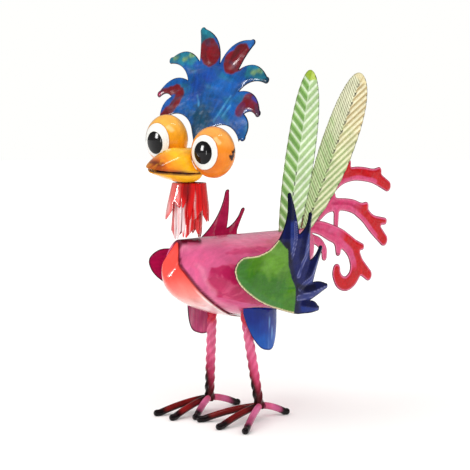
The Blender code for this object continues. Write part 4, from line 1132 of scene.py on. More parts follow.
def jaw_edge(f):
    """Height of the lower beak's rim, tight at the corner of the mouth and open at the front."""
    share = min(max((f - 2.0) / 12.0, 0.0), 1.0)
    return -MOUTH_DROP - GAP - BEAK_SHEET * 0.2 - MOUTH_OPEN * share


def behind_cut():
    """Plane just in front of the crest stem."""
    _, back, up = head_axes()
    normal = back * cos(CREST_LEAN) - up * sin(CREST_LEAN)
    return EYE_MIDDLE + back * CREST_BEHIND_EYES - normal * (SHEET / 2 + GAP), normal


def eye_cutter():
    """Both eyes, a clearance larger, as one mesh to cut the beak with."""
    points, faces = [], []
    for where in (EYE_HALF_SPACING, -EYE_HALF_SPACING):
        some, sides = loft(eye_rings(where, GAP + 0.1, np.linspace(0.05, pi - 0.05, 40), 64))
        faces += [tuple(i + len(points) for i in f) for f in sides]
        points += list(some)
    mesh = bpy.data.meshes.new("eye_cutter")
    mesh.from_pydata([tuple(p) for p in points], [], faces)
    bm = bmesh.new()
    bm.from_mesh(mesh)
    bmesh.ops.recalc_face_normals(bm, faces=bm.faces[:])
    bm.to_mesh(mesh)
    bm.free()
    return mesh


def beak_stations(length, even_to, even, closer):
    """Places along the beak, even over most of it and closer together towards the tip."""
    tip = length - (length - even_to) * (1 - np.linspace(0, 1, closer)[1:]) ** 1.6
    return np.concatenate((np.linspace(-BEAK_BACK - 3, even_to, even), tip))


def beak_skin(rows):
    """Sheet through the sections, trimmed by the eyes and in front of the crest's stem."""
    blank = shell(np.array(rows), 0.0, BEAK_SHEET)
    return Skin(*reshape(blank.points, blank.faces, [behind_cut()], eye_cutter()))


def upper_section(f):
    half = beak_half_width(f, BEAK_LENGTH, BEAK_HALF_WIDTH)
    rise = beak_ridge(f)
    lip = MOUTH_DROP - max(f, 0) / BEAK_LENGTH
    return [head_point(half * sin(a), f, -lip + rise * cos(a)) for a in np.linspace(-pi / 2, pi / 2, 61)]


def make_upper_beak():
    skin = beak_skin([upper_section(f) for f in beak_stations(BEAK_LENGTH, 36, 56, 26)])
    _, f, u = head_places(skin.points)
    flow = wander(skin.points, 16.0, 12)
    low = u + MOUTH_DROP - np.maximum(f, 0) / BEAK_LENGTH
    skin.coat(YELLOW)
    skin.lay(smooth(f + flow * 1.5 - u * 0.25, 21, 33) * 0.75, ORANGE)
    skin.lay(smooth(f + flow * 1.5 + low * 0.1, 29, 38), BURNT)
    skin.lay(smooth(f + flow, 32.5, 39.0), SOOT)
    skin.lay(falling(low + flow * 0.3, 0.6, 2.6) * smooth(f, 4, 26) * 0.85, SOOT)
    skin.lay(falling(low + flow * 0.6, 2.0, 6.5) * smooth(f, 18, 34) * 0.5, BURNT)
    # pale yellow band over the top: painted highlight
    skin.lay(falling(np.abs(f - 13 + flow), 1, 9) * smooth(u, -8, -3) * 0.4, SUNNY)
    add_piece("upper_beak", skin, enamel("upper_beak_enamel", 0.08, (0.2, 0.08, 0.2), 0.10, AMBER, 0.5,
                                         rough=(0.14, 0.26)))


def lower_section(f):
    """Bowl of the lower beak with an inner lip on either side that rises behind the mouth's line."""
    half = beak_half_width(f, JAW_LENGTH + 0.5, JAW_HALF_WIDTH)
    depth = JAW_DEPTH * (1 - (max(f, 0) / (JAW_LENGTH + 2)) ** 1.6)
    bowl = [(half * sin(a), jaw_edge(f) - depth * cos(a)) for a in np.linspace(-pi / 2, pi / 2, 51)]
    inner = max(half - LIP_INSET, 0.2)
    lip = [(inner + (half - inner) * k, jaw_edge(f) + LIP_HEIGHT * sqrt(1 - k)) for k in (0.0, 0.25, 0.6)]
    return [head_point(s, f, u) for s, u in [(-s, u) for s, u in lip] + bowl + lip[::-1]]


def make_lower_beak():
    skin = beak_skin([lower_section(f) for f in beak_stations(JAW_LENGTH, 32, 50, 22)])
    _, f, u = head_places(skin.points)
    rim = np.array([jaw_edge(x) for x in f]) - u
    flow = wander(skin.points, 12.0, 14)
    skin.coat(YELLOW)
    skin.lay(smooth(f + flow, 32, 39) * 0.4, ORANGE)
    skin.lay(falling(rim + flow * 0.2, 0.6, 1.4) * 0.75, UMBER)
    skin.lay(falling(rim, -0.4, 0.5), SOOT)
    skin.lay(smooth(rim + flow, 6, 10) * 0.4, AMBER)
    add_piece("lower_beak", skin, enamel("lower_beak_enamel", 0.08, (0.2, 0.08, 0.2), 0.10, AMBER, 0.5,
                                         rough=(0.14, 0.26)))


# neck strips


def neck_place(radius, flare, top):
    def place(u, v):
        r = radius + flare * (top - v)
        turn = u / radius
        back = NECK_Y - NECK_LEAN * (top - v)
        return np.column_stack((NECK_X + r * np.sin(turn), back + r * np.cos(turn), v))
    return place


def comb_outline(radius, strips, top, tip_height):
    """Flat comb: a level top edge and hanging strips of uneven length."""
    length = 2 * pi * radius - GAP * 1.5
    pitch = length / strips
    pieces = 2 * strips
    out = [(length * k / pieces, top) for k in range(pieces, -1, -1)]
    for i in range(strips):
        left = pitch * i
        low = tip_height(i, left + pitch / 2)
        slit = low + (top - low) * (0.62 - 0.16 * ((i * 5) % 3))
        skew = 0.22 * (((i * 7) % 5) / 2 - 1)
        shoulder = low + (6.0 + 2.0 * ((i * 3) % 3))
        if i == 0:
            out.append((left, shoulder))
        else:
            out.append((left, slit))
            out.append((left + 0.35, shoulder + 2.0))
        split = left + pitch * (0.5 + skew)
        out.append((left + pitch * (0.38 + skew), low))
        out.append((split - 0.45, low + 0.8))
        out.append((left + pitch * (0.5 + skew / 2), low + (top - low) * (0.42 + 0.1 * ((i * 2) % 3))))
        out.append((split + 0.45, low + 1.6))
        out.append((left + pitch * (0.62 + skew), low))
        out.append((left + pitch - 0.35, shoulder) if i + 1 < strips else (left + pitch, shoulder))
    return out


def strip_relief(pitch, height):
    """Each half strip is rolled a little across its width, most at its loose end."""
    def relief(u, v, inward):
        share = (u / pitch * 2) % 1.0
        loose = smooth(NECK_TOP_Z - v, 4, 22)
        return height * loose * (np.sin(share * pi) - 0.6)
    return relief


def band(value, low, high, soft):
    """1 between two values, with a soft border on either side."""
    return smooth(value, low - soft, low + soft) * falling(value, high - soft, high + soft)


def paint_neck(skin, outer, radius, pitch):
    """Red strips that pale to salmon and white on the bird's right front, partly paint and partly a painted
    highlight on the lit side, with painted glints and painted shade in the dark slits.
    """
    u, v = skin.marks["u"], skin.marks["v"]
    turn = np.degrees(u / radius)
    flow = wander(np.column_stack((u, v * 0.35)), 6.0, 31)
    fibres = wander(np.column_stack((u, v * 0.12)), 2.2, 33)
    share = (u / pitch * 2) % 1.0
    skin.coat(RED)
    skin.lay(smooth(fibres, 0.1, 0.9) * 0.45, DARK_RED)
    if outer:
        # salmon and white on the bird's right front: partly paint, partly a painted highlight on the lit side
        skin.lay(band(turn + flow * 9, 160, 262, 7) * 0.95, SALMON)
        skin.lay(band(turn + flow * 9, 196, 226, 6) * falling(v, 186, 200) * 0.45, BLUSH)
        skin.lay(band(turn + flow * 4, 128, 150, 4) * smooth(v, 190, 200) * 0.8, DARK_RED)
        # thin white line: painted glint
        skin.lay(band(turn + flow * 2, 110, 114, 1.2) * falling(v, 196, 203) * 0.6, BLUSH)
    else:
        # white and salmon on the bird's right front: partly paint, partly a painted highlight on the lit side
        skin.lay(band(turn + flow * 6, 143, 193, 4) * 0.96, BLUSH)
        skin.lay(band(turn + flow * 6, 143, 193, 4) * smooth(fibres, 0.3, 0.9) * 0.5, SALMON)
        skin.lay(band(turn + flow * 6, 197, 250, 6) * 0.6, SALMON)
        # thin white line: painted glint
        skin.lay(band(turn + flow * 2, 118, 122, 1.5) * 0.8, BLUSH)
        skin.lay(smooth(v, 192, 204) * 0.85, DARK_RED)
    # dark lines between the half strips: painted shade in the slits
    line = np.maximum(falling(share, 0.03, 0.13), smooth(share, 0.9, 0.98))
    skin.lay(line * 0.5, DARK_RED)


def make_neck():
    inner_place = neck_place(INNER_NECK_RADIUS, 0.0, NECK_TOP_Z)
    middle = np.array((NECK_X, NECK_Y - NECK_LEAN * (NECK_TOP_Z - BACK_Z), BACK_Z))

    def inner_tip(i, u):
        spots = inner_place(u + np.array((-5.0, -2.5, 0.0, 2.5, 5.0)), np.full(5, BACK_Z))
        around = [middle + (p - middle) * k for p in spots for k in (0.94, 1.05)]
        rest = max([BACK_Z] + [over_body(p[0], p[1]) or BACK_Z for p in around])
        return rest + GAP + 0.1 + (0.0, 4.0, 1.5, 0.0, 6.0, 0.0, 3.0)[i % 7]

    plan = (("hackle_inner", INNER_NECK_RADIUS, 0.0, INNER_STRIPS, inner_tip, 0.15),
            ("hackle_outer", OUTER_NECK_RADIUS, OUTER_NECK_FLARE, OUTER_STRIPS,
             lambda i, u: OUTER_TIP_HEIGHTS[i], 0.4))
    for name, radius, flare, strips, tip, height in plan:
        pitch = (2 * pi * radius - GAP * 1.5) / strips
        outline = comb_outline(radius, strips, NECK_TOP_Z, tip)
        skin = plate(outline, neck_place(radius, flare, NECK_TOP_Z), 0.8, relief=strip_relief(pitch, height))
        paint_neck(skin, name == "hackle_outer", radius, pitch)
        add_piece(name, skin, enamel(name + "_enamel", 0.10, (0.55, 0.04, 0.5), 0.22, rough=(0.12, 0.3),
                                     dent=0.0002, coat=0.9))


# wings


def wing_outline():
    lobe = smooth_run(WING_LOBE, 10)
    return lobe[:-1] + fingers(WING_VALLEYS, WING_TIPS, WING_SWELL, WING_TIP_RADIUS)


def wing_flare(u, v):
    """Distance the wing stands outside its side plane."""
    front = np.maximum(WING_FLARE_FROM - u, 0.0) / WING_FLARE_RUN
    lean = np.maximum(v - WING_TILT_FROM, 0.0) * WING_TILT
    beside = (u - WING_HOLLOW["u"]) / WING_HOLLOW["half"]
    above = (v - WING_HOLLOW["v"]) / WING_HOLLOW["rise"]
    hollow = WING_HOLLOW["depth"] * np.maximum(1 - np.hypot(beside, above), 0.0)
    return WING_FLARE * front ** 1.5 - lean + hollow


def wing_base():
    """Side plane on which the wing just clears the body."""
    offset = 0.0
    for u in range(-40, 60, 3):
        for v in range(95, 160, 3):
            flare = float(wing_flare(u, v))
            hit = TREE.ray_cast(Vector((200.0, u - flare, v)), Vector((-1, 0, 0)))[0]
            if hit:
                offset = max(offset, hit.x - flare)
    return offset + GAP + SHEET / 2


def wing_relief(outward):
    lines = finger_creases(WING_VALLEYS, WING_TIPS)

    def relief(u, v, inward):
        places = np.column_stack((u, v))
        navy = smooth(u - np.interp(v, *border_line()), -1.0, 5.0)
        total = np.zeros(len(u))
        for line in lines:
            away = near_path(places, line)
            total = np.maximum(total, 1.3 * np.clip(1 - away / 6.0, 0, 1) * smooth(inward, 0.1, 3.5))
        fold = 0.3 * np.exp(-((v - 113.5 - (u - 25) * 0.02) / 2.5) ** 2) * smooth(u, -12, 4) * (1 - navy)
        return outward * (total * navy - fold + 0.35 * wander(places, 30.0, 17) * smooth(inward, 0, 6))
    return relief


def border_line():
    """Heights and side-plane places of the green and navy border, rising."""
    border = np.array(WING_BORDER)[::-1]
    return border[:, 1], border[:, 0]


def paint_wing(skin, side):
    """Green lobe with a cream rim of painted highlight, navy fingers with slate facets of painted light, and
    a crimson inner face.
    """
    u, v = skin.marks["u"], skin.marks["v"]
    edge = skin.marks["edge"]
    places = np.column_stack((u, v))
    outside = (skin.marks["face"] * side > 0).astype(float)
    past_border = u - np.interp(v, *border_line())
    navy = smooth(past_border + wander(places, 10.0, 41) * 0.35, -0.5, 0.5)
    navy = np.maximum(navy, smooth(v, 156.5, 158.5))
    skin.coat(LEAF)
    skin.lay(smooth(wander(places, 26.0, 42), 0.0, 0.8) * 0.5, FOREST)
    skin.stroke(((-46, 138), (-40, 140)), 4, 5, FOREST, 0.8)
    skin.stroke(((-47, 134), (-30, 124), (-10, 117), (6, 114)), 5, 8, FOREST, 0.85)
    skin.stroke(((-45, 124), (-24, 107), (4, 96)), 6, 3, SEA_GREEN, 0.9)
    skin.stroke(((6, 97), (22, 98)), 7, 5, SEA_GREEN, 0.5)
    skin.stroke(((-4, 140), (10, 143)), 7, 9, GRASS, 0.7)
    # thin dark line along the fold: painted shade in the crease
    skin.stroke(((-9, 114.2), (8, 115), (26, 113.6)), 0.4, 1.0, FOREST, 0.9)
    skin.stroke(((-22, 129), (-14, 127)), 1.5, 3, FOREST, 0.6)
    # cream rim: painted highlight along the lobe's edge
    skin.lay(falling(edge, 0.9, 1.5) * (1 - navy) * outside, CREAM)
    skin.lay(navy, NAVY)
    skin.lay(navy * falling(past_border, 2.0, 9.0) * 0.75, INK)
    # beside each crease: painted light on one side, painted shade on the other
    for line in finger_creases(WING_VALLEYS, WING_TIPS):
        root, tip = line[0], line[-1]
        axis = (tip - root) / np.linalg.norm(tip - root)
        across = (places - root) @ np.array((axis[1], -axis[0]))
        close = navy * falling(near_path(places, line), 4.5, 7.0)
        skin.lay(close * smooth(across, 0.0, 0.6) * 0.6, DENIM)
        skin.lay(close * smooth(-across, 0.0, 0.6) * 0.5, INK)
    # slate facets and lilac lines: painted light on the creased fingers
    for width, *facet in WING_LIT_FACETS:
        away = near_path(places, facet)
        skin.lay(navy * falling(away, width, width + 0.5) * 0.8, SLATE)
        line = falling(np.abs(away - width), 0.15, 0.5) * smooth(u, 16, 22)
        skin.lay(navy * line * 0.55, LILAC)
    for width, *path in WING_DARK:
        skin.lay(navy * falling(near_path(places, path), width, width + 3.0) * 0.85, INK)
    skin.lay(navy * falling(edge, 0.4, 1.2) * 0.85, INK)
    inner = 1 - outside
    skin.lay(inner, CRIMSON)
    skin.lay(inner * smooth(wander(places, 22.0, 43), -0.3, 0.7) * 0.5, CERISE)
    skin.lay(inner * falling(edge, 0.4, 1.1) * 0.8, WINE)


def make_wings():
    base = wing_base()
    for name, side, forward in (("wing_left", 1.0, 0.0), ("wing_right", -1.0, RIGHT_WING_FORWARD)):
        def place(u, v, side=side, forward=forward):
            flare = wing_flare(u, v)
            x = side * (base + flare)
            return np.column_stack((x, u - flare - (base - WING_PLANE) - forward, v + 0 * x))
        # a sheet's face side looks towards +x, which is inwards for the wing on the bird's right
        skin = plate(wing_outline(), place, relief=wing_relief(side))
        paint_wing(skin, side)
        add_piece(name, skin, enamel(name + "_enamel", 0.12, (0.10, 0.30, 0.5), 0.14, rim=INK, rim_width=0.3,
                                     rough=(0.16, 0.32), dent=0.00018, coat=0.3), radians(35))


# thighs, legs and feet


def thigh_columns(side, thigh):
    """Columns of a curved shield that hangs from the body's underside, from front to back."""
    columns = []
    power = log(0.5) / log(thigh["lowest at"])
    for u in np.sin(np.linspace(-pi / 2, pi / 2, 61)) * 0.985:
        y = thigh["y"] + thigh["half"] * u
        x = side * (THIGH_X + THIGH_SWELL * (1 - u * u))
        above = [under_body(x + dx, y + dy) or 1e3 for dx in (-0.8, 0.0, 0.8) for dy in (-1.0, 1.0)]
        top = min(above) - GAP
        away = 2 * ((u + 1) / 2) ** power - 1
        low = top - THIGH_EDGE - thigh["drop"] * sqrt(1 - abs(away) ** THIGH_FULLNESS)
        columns.append([(x, y, top + (low - top) * share) for share in np.linspace(0, 1, 37)])
    return np.array(columns).transpose(1, 0, 2)


def paint_thigh(skin, side, thigh):
    """Blue outside, deeper at the top, with painted highlight streaks behind, and a streaked mauve inner
    face.
    """
    x, y, z = skin.points.T
    back = y - thigh["y"]
    middle = side * (THIGH_X + THIGH_SWELL * (1 - (back / thigh["half"]) ** 2))
    outside = ((x - middle) * side > 0).astype(float)
    flow = wander(skin.points, 14.0, 51)
    down = skin.marks["row"]
    skin.coat(COBALT)
    skin.lay(falling(z + flow * 3, 80, 91) * 0.3, BRIGHT_BLUE)
    skin.lay(smooth(z + flow * 4 + back * 0.2, 66, 84) * 0.9, SAPPHIRE)
    # pale blue streaks behind: painted highlight
    streaks = smooth(wander(np.column_stack((y, z * 0.16)), 3.2, 52), 0.25, 0.9)
    skin.lay(streaks * smooth(back, 3, 9) * falling(z, 88, 93) * 0.6, ICE_BLUE)
    skin.lay(falling((1 - down) * thigh["drop"], 0.5, 2.0) * 0.7, SAPPHIRE)
    inner = 1 - outside
    skin.lay(inner, MAUVE)
    lines = wander(np.column_stack((y, z * 0.1)), 2.6, 53)
    skin.lay(inner * smooth(lines, 0.1, 0.9) * 0.3, CRIMSON)
    skin.lay(inner * smooth(-lines, 0.2, 0.9) * 0.5, PALE_PINK)
    skin.lay(inner * smooth(down, 0.93, 0.99) * 0.85, WINE)
    turn = np.arcsin(np.clip(back / thigh["half"], -1, 1))
    to_side = (1 - np.abs(np.sin(turn))) * thigh["half"] + 0.2
    skin.marks["edge"] = np.minimum((1 - down) * thigh["drop"] * np.cos(turn), to_side)
    skin.grain = np.column_stack((y, z, outside * 40))


def make_thighs():
    for name, side, thigh in (("thigh_left", 1.0, LEFT_THIGH), ("thigh_right", -1.0, RIGHT_THIGH)):
        skin = shell(thigh_columns(side, thigh), -SHEET / 2, SHEET / 2)
        paint_thigh(skin, side, thigh)
        add_piece(name, skin, enamel(name + "_enamel", 0.12, (0.4, 0.06, 0.5), 0.12, rim=INK, rim_width=0.5,
                                     rough=(0.12, 0.26), dent=0.0002, coat=0.4))


def leg_axis(foot, top):
    """Foot end of a leg's middle line and its direction up to the body."""
    low = np.array((foot[0], foot[1], LEG_END_Z))
    return low, (top - low) / np.linalg.norm(top - low)


def make_leg(name, foot, top):
    """Twisted square bar from the toes up to the body's underside."""
    low, axis = leg_axis(foot, top)
    across = np.cross(axis, (0, 1, 0))
    across /= np.linalg.norm(across)
    other = np.cross(axis, across)
    length = np.linalg.norm(top - low) + LEG_OVERLENGTH
    rings = []
    for along in np.linspace(0, length, 190):
        twist = 2 * pi * along / LEG_TWIST_LENGTH
        ring = []
        for turn in np.linspace(0, 2 * pi, 32, endpoint=False):
            corner = (0.5 + 0.5 * cos(4 * turn)) ** LEG_CORNER_SHARPNESS
            r = LEG_FLAT + (LEG_RADIUS - LEG_FLAT) * corner
            ring.append(low + axis * along + (across * cos(turn + twist) + other * sin(turn + twist)) * r)
        rings.append(ring)
    hit, normal, _, _ = TREE.ray_cast(Vector(top - axis * 20.0), Vector(axis))
    if normal.dot(Vector(axis)) > 0:
        normal = -normal
    points, faces = loft(rings)
    points, faces = reshape(points, faces, [(hit + normal * GAP, -normal)])
    skin = Skin(points, faces)
    paint_leg(skin, low, axis)
    add_piece(name, skin, enamel(name + "_enamel", 0.14, (0.5, 0.5, 0.12), 0.14, rough=(0.14, 0.34),
                                 dent=0.0002, coat=0.3), radians(50))


def paint_leg(skin, low, axis):
    """Rose bar, red at the top, darker in its grooves, and nearly black at the foot and on its front."""
    points = skin.points
    z = points[:, 2]
    flow = wander(points * (1, 1, 0.5), 9.0, 61)
    away = points - low - np.outer((points - low) @ axis, axis)
    deep = falling(np.linalg.norm(away, axis=1), LEG_FLAT, LEG_RADIUS - 0.1)
    skin.coat(ROSE)
    skin.lay(smooth(z + flow * 5, 40, 70) * 0.45, PALE_PINK)
    skin.lay(smooth(z + flow * 2, 78, 84) * 0.8, RED)
    skin.lay(deep * 0.35, CRIMSON)
    left = smooth(-(away @ np.array((0.7071, 0.7071, 0))) + flow, -1.0, 3.0)
    skin.lay(falling(z + flow * 4 - left * 12, 20, 54), GARNET)
    skin.lay(falling(z + flow * 4 - left * 12, 15, 36), OXBLOOD)
    skin.lay(falling(z + flow * 3 - left * 16, 12, 26) * (0.35 + 0.65 * left), TAR)


def toe_path(foot, forward, reach):
    """Middle line of a toe, arched from under the leg down to where it rests."""
    rest = TOE_RADIUS - TOE_FLAT
    return [foot + forward * (reach * t)
            + np.array((0, 0, rest + TOE_HEIGHT * (1 - min(t / TOE_REST_SHARE, 1.0) ** TOE_FALL)))
            for t in np.linspace(0, 1, 44)]


def toe_rings(path, forward, side):
    """Round sections along the path, then smaller ones that close its tip."""
    turns = np.linspace(0, 2 * pi, 28, endpoint=False)
    rings = []
    for i, centre in enumerate(path):
        run = path[min(i + 1, len(path) - 1)] - path[max(i - 1, 0)]
        up = np.cross(side, run / np.linalg.norm(run))
        rings.append([centre + (side * cos(t) + up * sin(t)) * TOE_RADIUS for t in turns])
    up = np.array((0, 0, 1.0))
    for angle in np.radians((12, 24, 36, 48, 58, 66, 74, 81, 86)):
        centre = path[-1] + forward * TOE_RADIUS * sin(angle)
        rings.append([centre + (side * cos(t) + up * sin(t)) * TOE_RADIUS * cos(angle) for t in turns])
    return rings


def toe_cuts(foot, bearing, forward, others, axis):
    """Planes that flatten the sole and part the toe from the leg and from its neighbours."""
    outward = forward - axis * (forward @ axis)
    outward /= np.linalg.norm(outward)
    root = foot + np.array((0, 0, LEG_END_Z)) + outward * (LEG_RADIUS + GAP)
    cuts = [((0, 0, 0), (0, 0, -1)), (root, -outward)]
    for _, other, _ in others:
        gap = (bearing - other + 180) % 360 - 180
        if abs(gap) < 120:
            b = radians((bearing + other) / 2)
            away = np.array((cos(b), sin(b), 0))
            if away @ forward > 0:
                away = -away
            cuts.append((foot - away * GAP / 2, away))
    return cuts


def paint_toe(skin, pinkish, reach, along):
    """Pink or brick rod, the brick ones with painted shade below, with a black tip."""
    flow = wander(skin.points, 8.0, 71)
    z = skin.points[:, 2]
    skin.coat(MAUVE if pinkish else BRICK)
    if pinkish:
        skin.lay(smooth(along + flow * 3, reach * 0.35, reach * 0.85) * 0.7, WINE)
        skin.lay(falling(along + flow * 2, 7, 16), DUSTY_PINK)
    else:
        skin.lay(falling(along + flow * 3, 8, 26) * 0.9, TAR)
        skin.lay(smooth(wander(skin.points, 16.0, 72), 0, 0.8) * 0.5, RUSSET)
        # black underside: painted shade below the toe's middle line
        share = np.clip(along / (reach - TOE_RADIUS), 0, 1)
        middle = TOE_RADIUS - TOE_FLAT + TOE_HEIGHT * (1 - share ** TOE_FALL)
        skin.lay(falling(z - middle, -2.2, 0.4) * 0.85, TAR)
    skin.lay(smooth(along + flow * 2, reach - 16, reach - 8), TAR)


def make_toe(name, foot, toe, others, axis):
    label, bearing, reach = toe
    turn = radians(bearing)
    forward = np.array((sin(turn), -cos(turn), 0))
    side = np.cross(forward, (0, 0, 1))
    path = toe_path(foot, forward, reach - TOE_RADIUS)
    points, faces = loft(toe_rings(path, forward, side))
    skin = Skin(*reshape(points, faces, toe_cuts(foot, bearing, forward, others, axis)))
    along = (skin.points - foot) @ forward
    pinkish = label in ("rear", "outer" if foot[0] > 0 else "inner")
    paint_toe(skin, pinkish, reach, along)
    skin.grain = np.column_stack((along, skin.points @ side, skin.points[:, 2]))
    add_piece(name, skin, enamel(name + "_enamel", 0.12, (0.10, 0.5, 0.5), 0.14, rough=(0.08, 0.2),
                                 dent=0.00015, coat=0.3), radians(50))


def make_feet():
    plan = (("left", LEFT_FOOT, LEG_TOP, LEFT_TOES), ("right", RIGHT_FOOT, LEG_TOP * (-1, 1, 1), RIGHT_TOES))
    for label, foot, top, toes in plan:
        crown = np.array((top[0], top[1], under_body(top[0], top[1])))
        make_leg("leg_" + label, foot, crown)
        axis = leg_axis(foot, crown)[1]
        for toe in toes:
            make_toe("toe_" + label + "_" + toe[0], foot, toe, [t for t in toes if t is not toe], axis)


# tail feathers


def feather_half_width(s, feather):
    if s < feather["widest"]:
        fall = (1 - s / feather["widest"]) ** 2
        return feather["half"] * (1 - (1 - feather["base"]) * fall)
    share = (s - feather["widest"]) / (1 - feather["widest"])
    return feather["half"] * sqrt(max(1 - share ** 2.6, 0.0))


def rest_height(plane, start, end):
    """Lowest level clear of the body for a sheet standing on it between two places."""
    found = [over_body(plane + dx, y) for dx in (-0.5, 0.0, 0.5) for y in np.linspace(start, end, 9)]
    return max(z for z in found if z is not None) + GAP


def clip(outline, axis, limit):
    """Keep the part of a flat outline at or above the limit on one axis."""
    out = []
    for a, b in zip(outline, outline[1:] + outline[:1]):
        a_in, b_in = a[axis] >= limit, b[axis] >= limit
        if a_in:
            out.append(tuple(a))
        if a_in != b_in:
            t = (limit - a[axis]) / (b[axis] - a[axis])
            cut = [a[k] + (b[k] - a[k]) * t for k in range(2)]
            cut[axis] = limit
            out.append(tuple(cut))
    return out


def feather_axes(feather):
    root = np.array(feather["root"])
    tip = np.array(feather["tip"])
    length = np.linalg.norm(tip - root)
    axis = (tip - root) / length
    return root, tip, length, axis, np.array((axis[1], -axis[0]))


def feather_outline(feather, floor):
    """Leaf outline with a faintly scalloped edge, cut level where it stands on the body."""
    root, tip, length, axis, side = feather_axes(feather)
    shares = np.sin(np.linspace(0, pi / 2, 150)[:-1])
    left, right = [], []
    for s in shares:
        half = feather_half_width(s, feather)
        fade = 0.35 * float(falling(s, 0.9, 0.97))
        for out, sign in ((left, -1.0), (right, 1.0)):
            phase = float(chevrons(feather, s * length, sign * half))
            out.append(root + axis * length * s + side * sign * (half - fade * (1 - abs(2 * phase - 1))))
    below = [root - axis * 12.0 - side * feather_half_width(0.0, feather),
             root - axis * 12.0 + side * feather_half_width(0.0, feather)]
    return clip([tuple(p) for p in right + [tip] + left[::-1] + below], 1, floor)


def chevrons(feather, along, across):
    """Phase of the embossed ribs, 0 to 1 across each, which rise outwards from the midrib."""
    rise = np.where(across < 0, *feather["rise"])
    return ((along - np.abs(across) * rise) / feather["pitch"]) % 1.0


def feather_places(feather, u, v):
    """How far flat places lie along the midrib from its root and to the right of it."""
    root, _, _, axis, side = feather_axes(feather)
    away = np.column_stack((u, v)) - root
    return away @ axis, away @ side


def make_feather(name, feather, span, fine_left, paint):
    length = feather_axes(feather)[2]
    plane = feather["plane"]

    def place(u, v):
        across = feather_places(feather, u, v)[1]
        return np.column_stack((plane + np.abs(across) * FEATHER_FOLD, u - plane, v + 0 * across))

    def relief(u, v, inward):
        along, across = feather_places(feather, u, v)
        phase = chevrons(feather, along, across)
        rib = CHEVRON_HEIGHT * (smooth(phase, 0.0, 0.55) * falling(phase, 0.72, 0.98) - 0.5) * 2
        if fine_left:
            rib = np.where(across < 0, FINE_RIB_HEIGHT * np.cos(phase * FINE_RIBS * 2 * pi), rib)
        fade = smooth(inward, 0.2, 1.6) * falling(along, length - 12, length - 5)
        midrib = 0.45 * np.exp(-(across / 1.3) ** 2)
        return rib * fade * smooth(np.abs(across), 0.6, 2.4) + midrib

    skin = plate(feather_outline(feather, rest_height(plane, *span)), place, 0.85, relief=relief)
    along, across = feather_places(feather, skin.marks["u"], skin.marks["v"])
    paint(skin, feather, along, across, length)
    skin.grain = np.column_stack((across, along, skin.marks["face"] * 40))
    add_piece(name, skin, enamel(name + "_enamel", 0.10, (0.3, 0.3, 0.5), 0.10, rough=(0.2, 0.4),
                                 dent=0.0001, coat=0.4), radians(60))


def make_feathers():
    make_feather("tail_feather_front", FRONT_FEATHER, (46.0, 74.0), False, paint_front_feather)
    make_feather("tail_feather_back", BACK_FEATHER, (76.0, 86.0), True, paint_back_feather)


def feather_edges(skin, phase, across):
    """Dark dashes down the right border and a thin darker line round the rest."""
    skin.lay(falling(skin.marks["edge"], 0.3, 0.8) * 0.45, OLIVE)
    border = falling(skin.marks["edge"], 0.9, 1.5) * smooth(across, 2, 5)
    skin.lay(border * band(phase, 0.3, 0.88, 0.05) * 0.95, PINE)


def paint_front_feather(skin, feather, along, across, length):
    """Green valleys and pale ribs, stronger on the left half, and a lime tip."""
    phase = chevrons(feather, along, across)
    flow = wander(np.column_stack((across, along)), 20.0, 81)
    left = smooth(-across, -0.3, 0.5)
    skin.coat(SPRING)
    skin.lay((1 - left) * 0.75, MIST)
    skin.lay(left * smooth(flow, -0.4, 0.8) * 0.35, MEADOW)
    skin.lay(left * band(phase, 0.02, 0.32, 0.06) * 0.8, MEADOW)
    skin.lay((1 - left) * band(phase, 0.06, 0.30, 0.08) * 0.45, SPRING)
    skin.lay((1 - left) * falling(np.abs(phase - 0.93), 0.02, 0.07) * 0.55, SAGE)
    skin.lay(band(phase, 0.50, 0.80, 0.07) * (0.9 - 0.25 * left), MINT)
    skin.lay(left * falling(np.abs(phase - 0.90), 0.03, 0.08) * 0.5, SAGE)
    skin.lay(falling(np.abs(across), 0.4, 1.2) * 0.35, MINT)
    tip = smooth(along - np.abs(across) * 0.35, length - 10.5, length - 9.0)
    skin.lay(tip, LIME)
    skin.lay(tip * smooth(across + flow, 0, 2) * 0.7, PALE_LIME)
    beside = falling(np.abs(across + 0.5), 0.7, 1.1) * falling(along, length * 0.36, length * 0.42)
    skin.lay(band(phase, 0.55, 0.92, 0.04) * beside * 0.9, PINE)
    feather_edges(skin, phase, across)


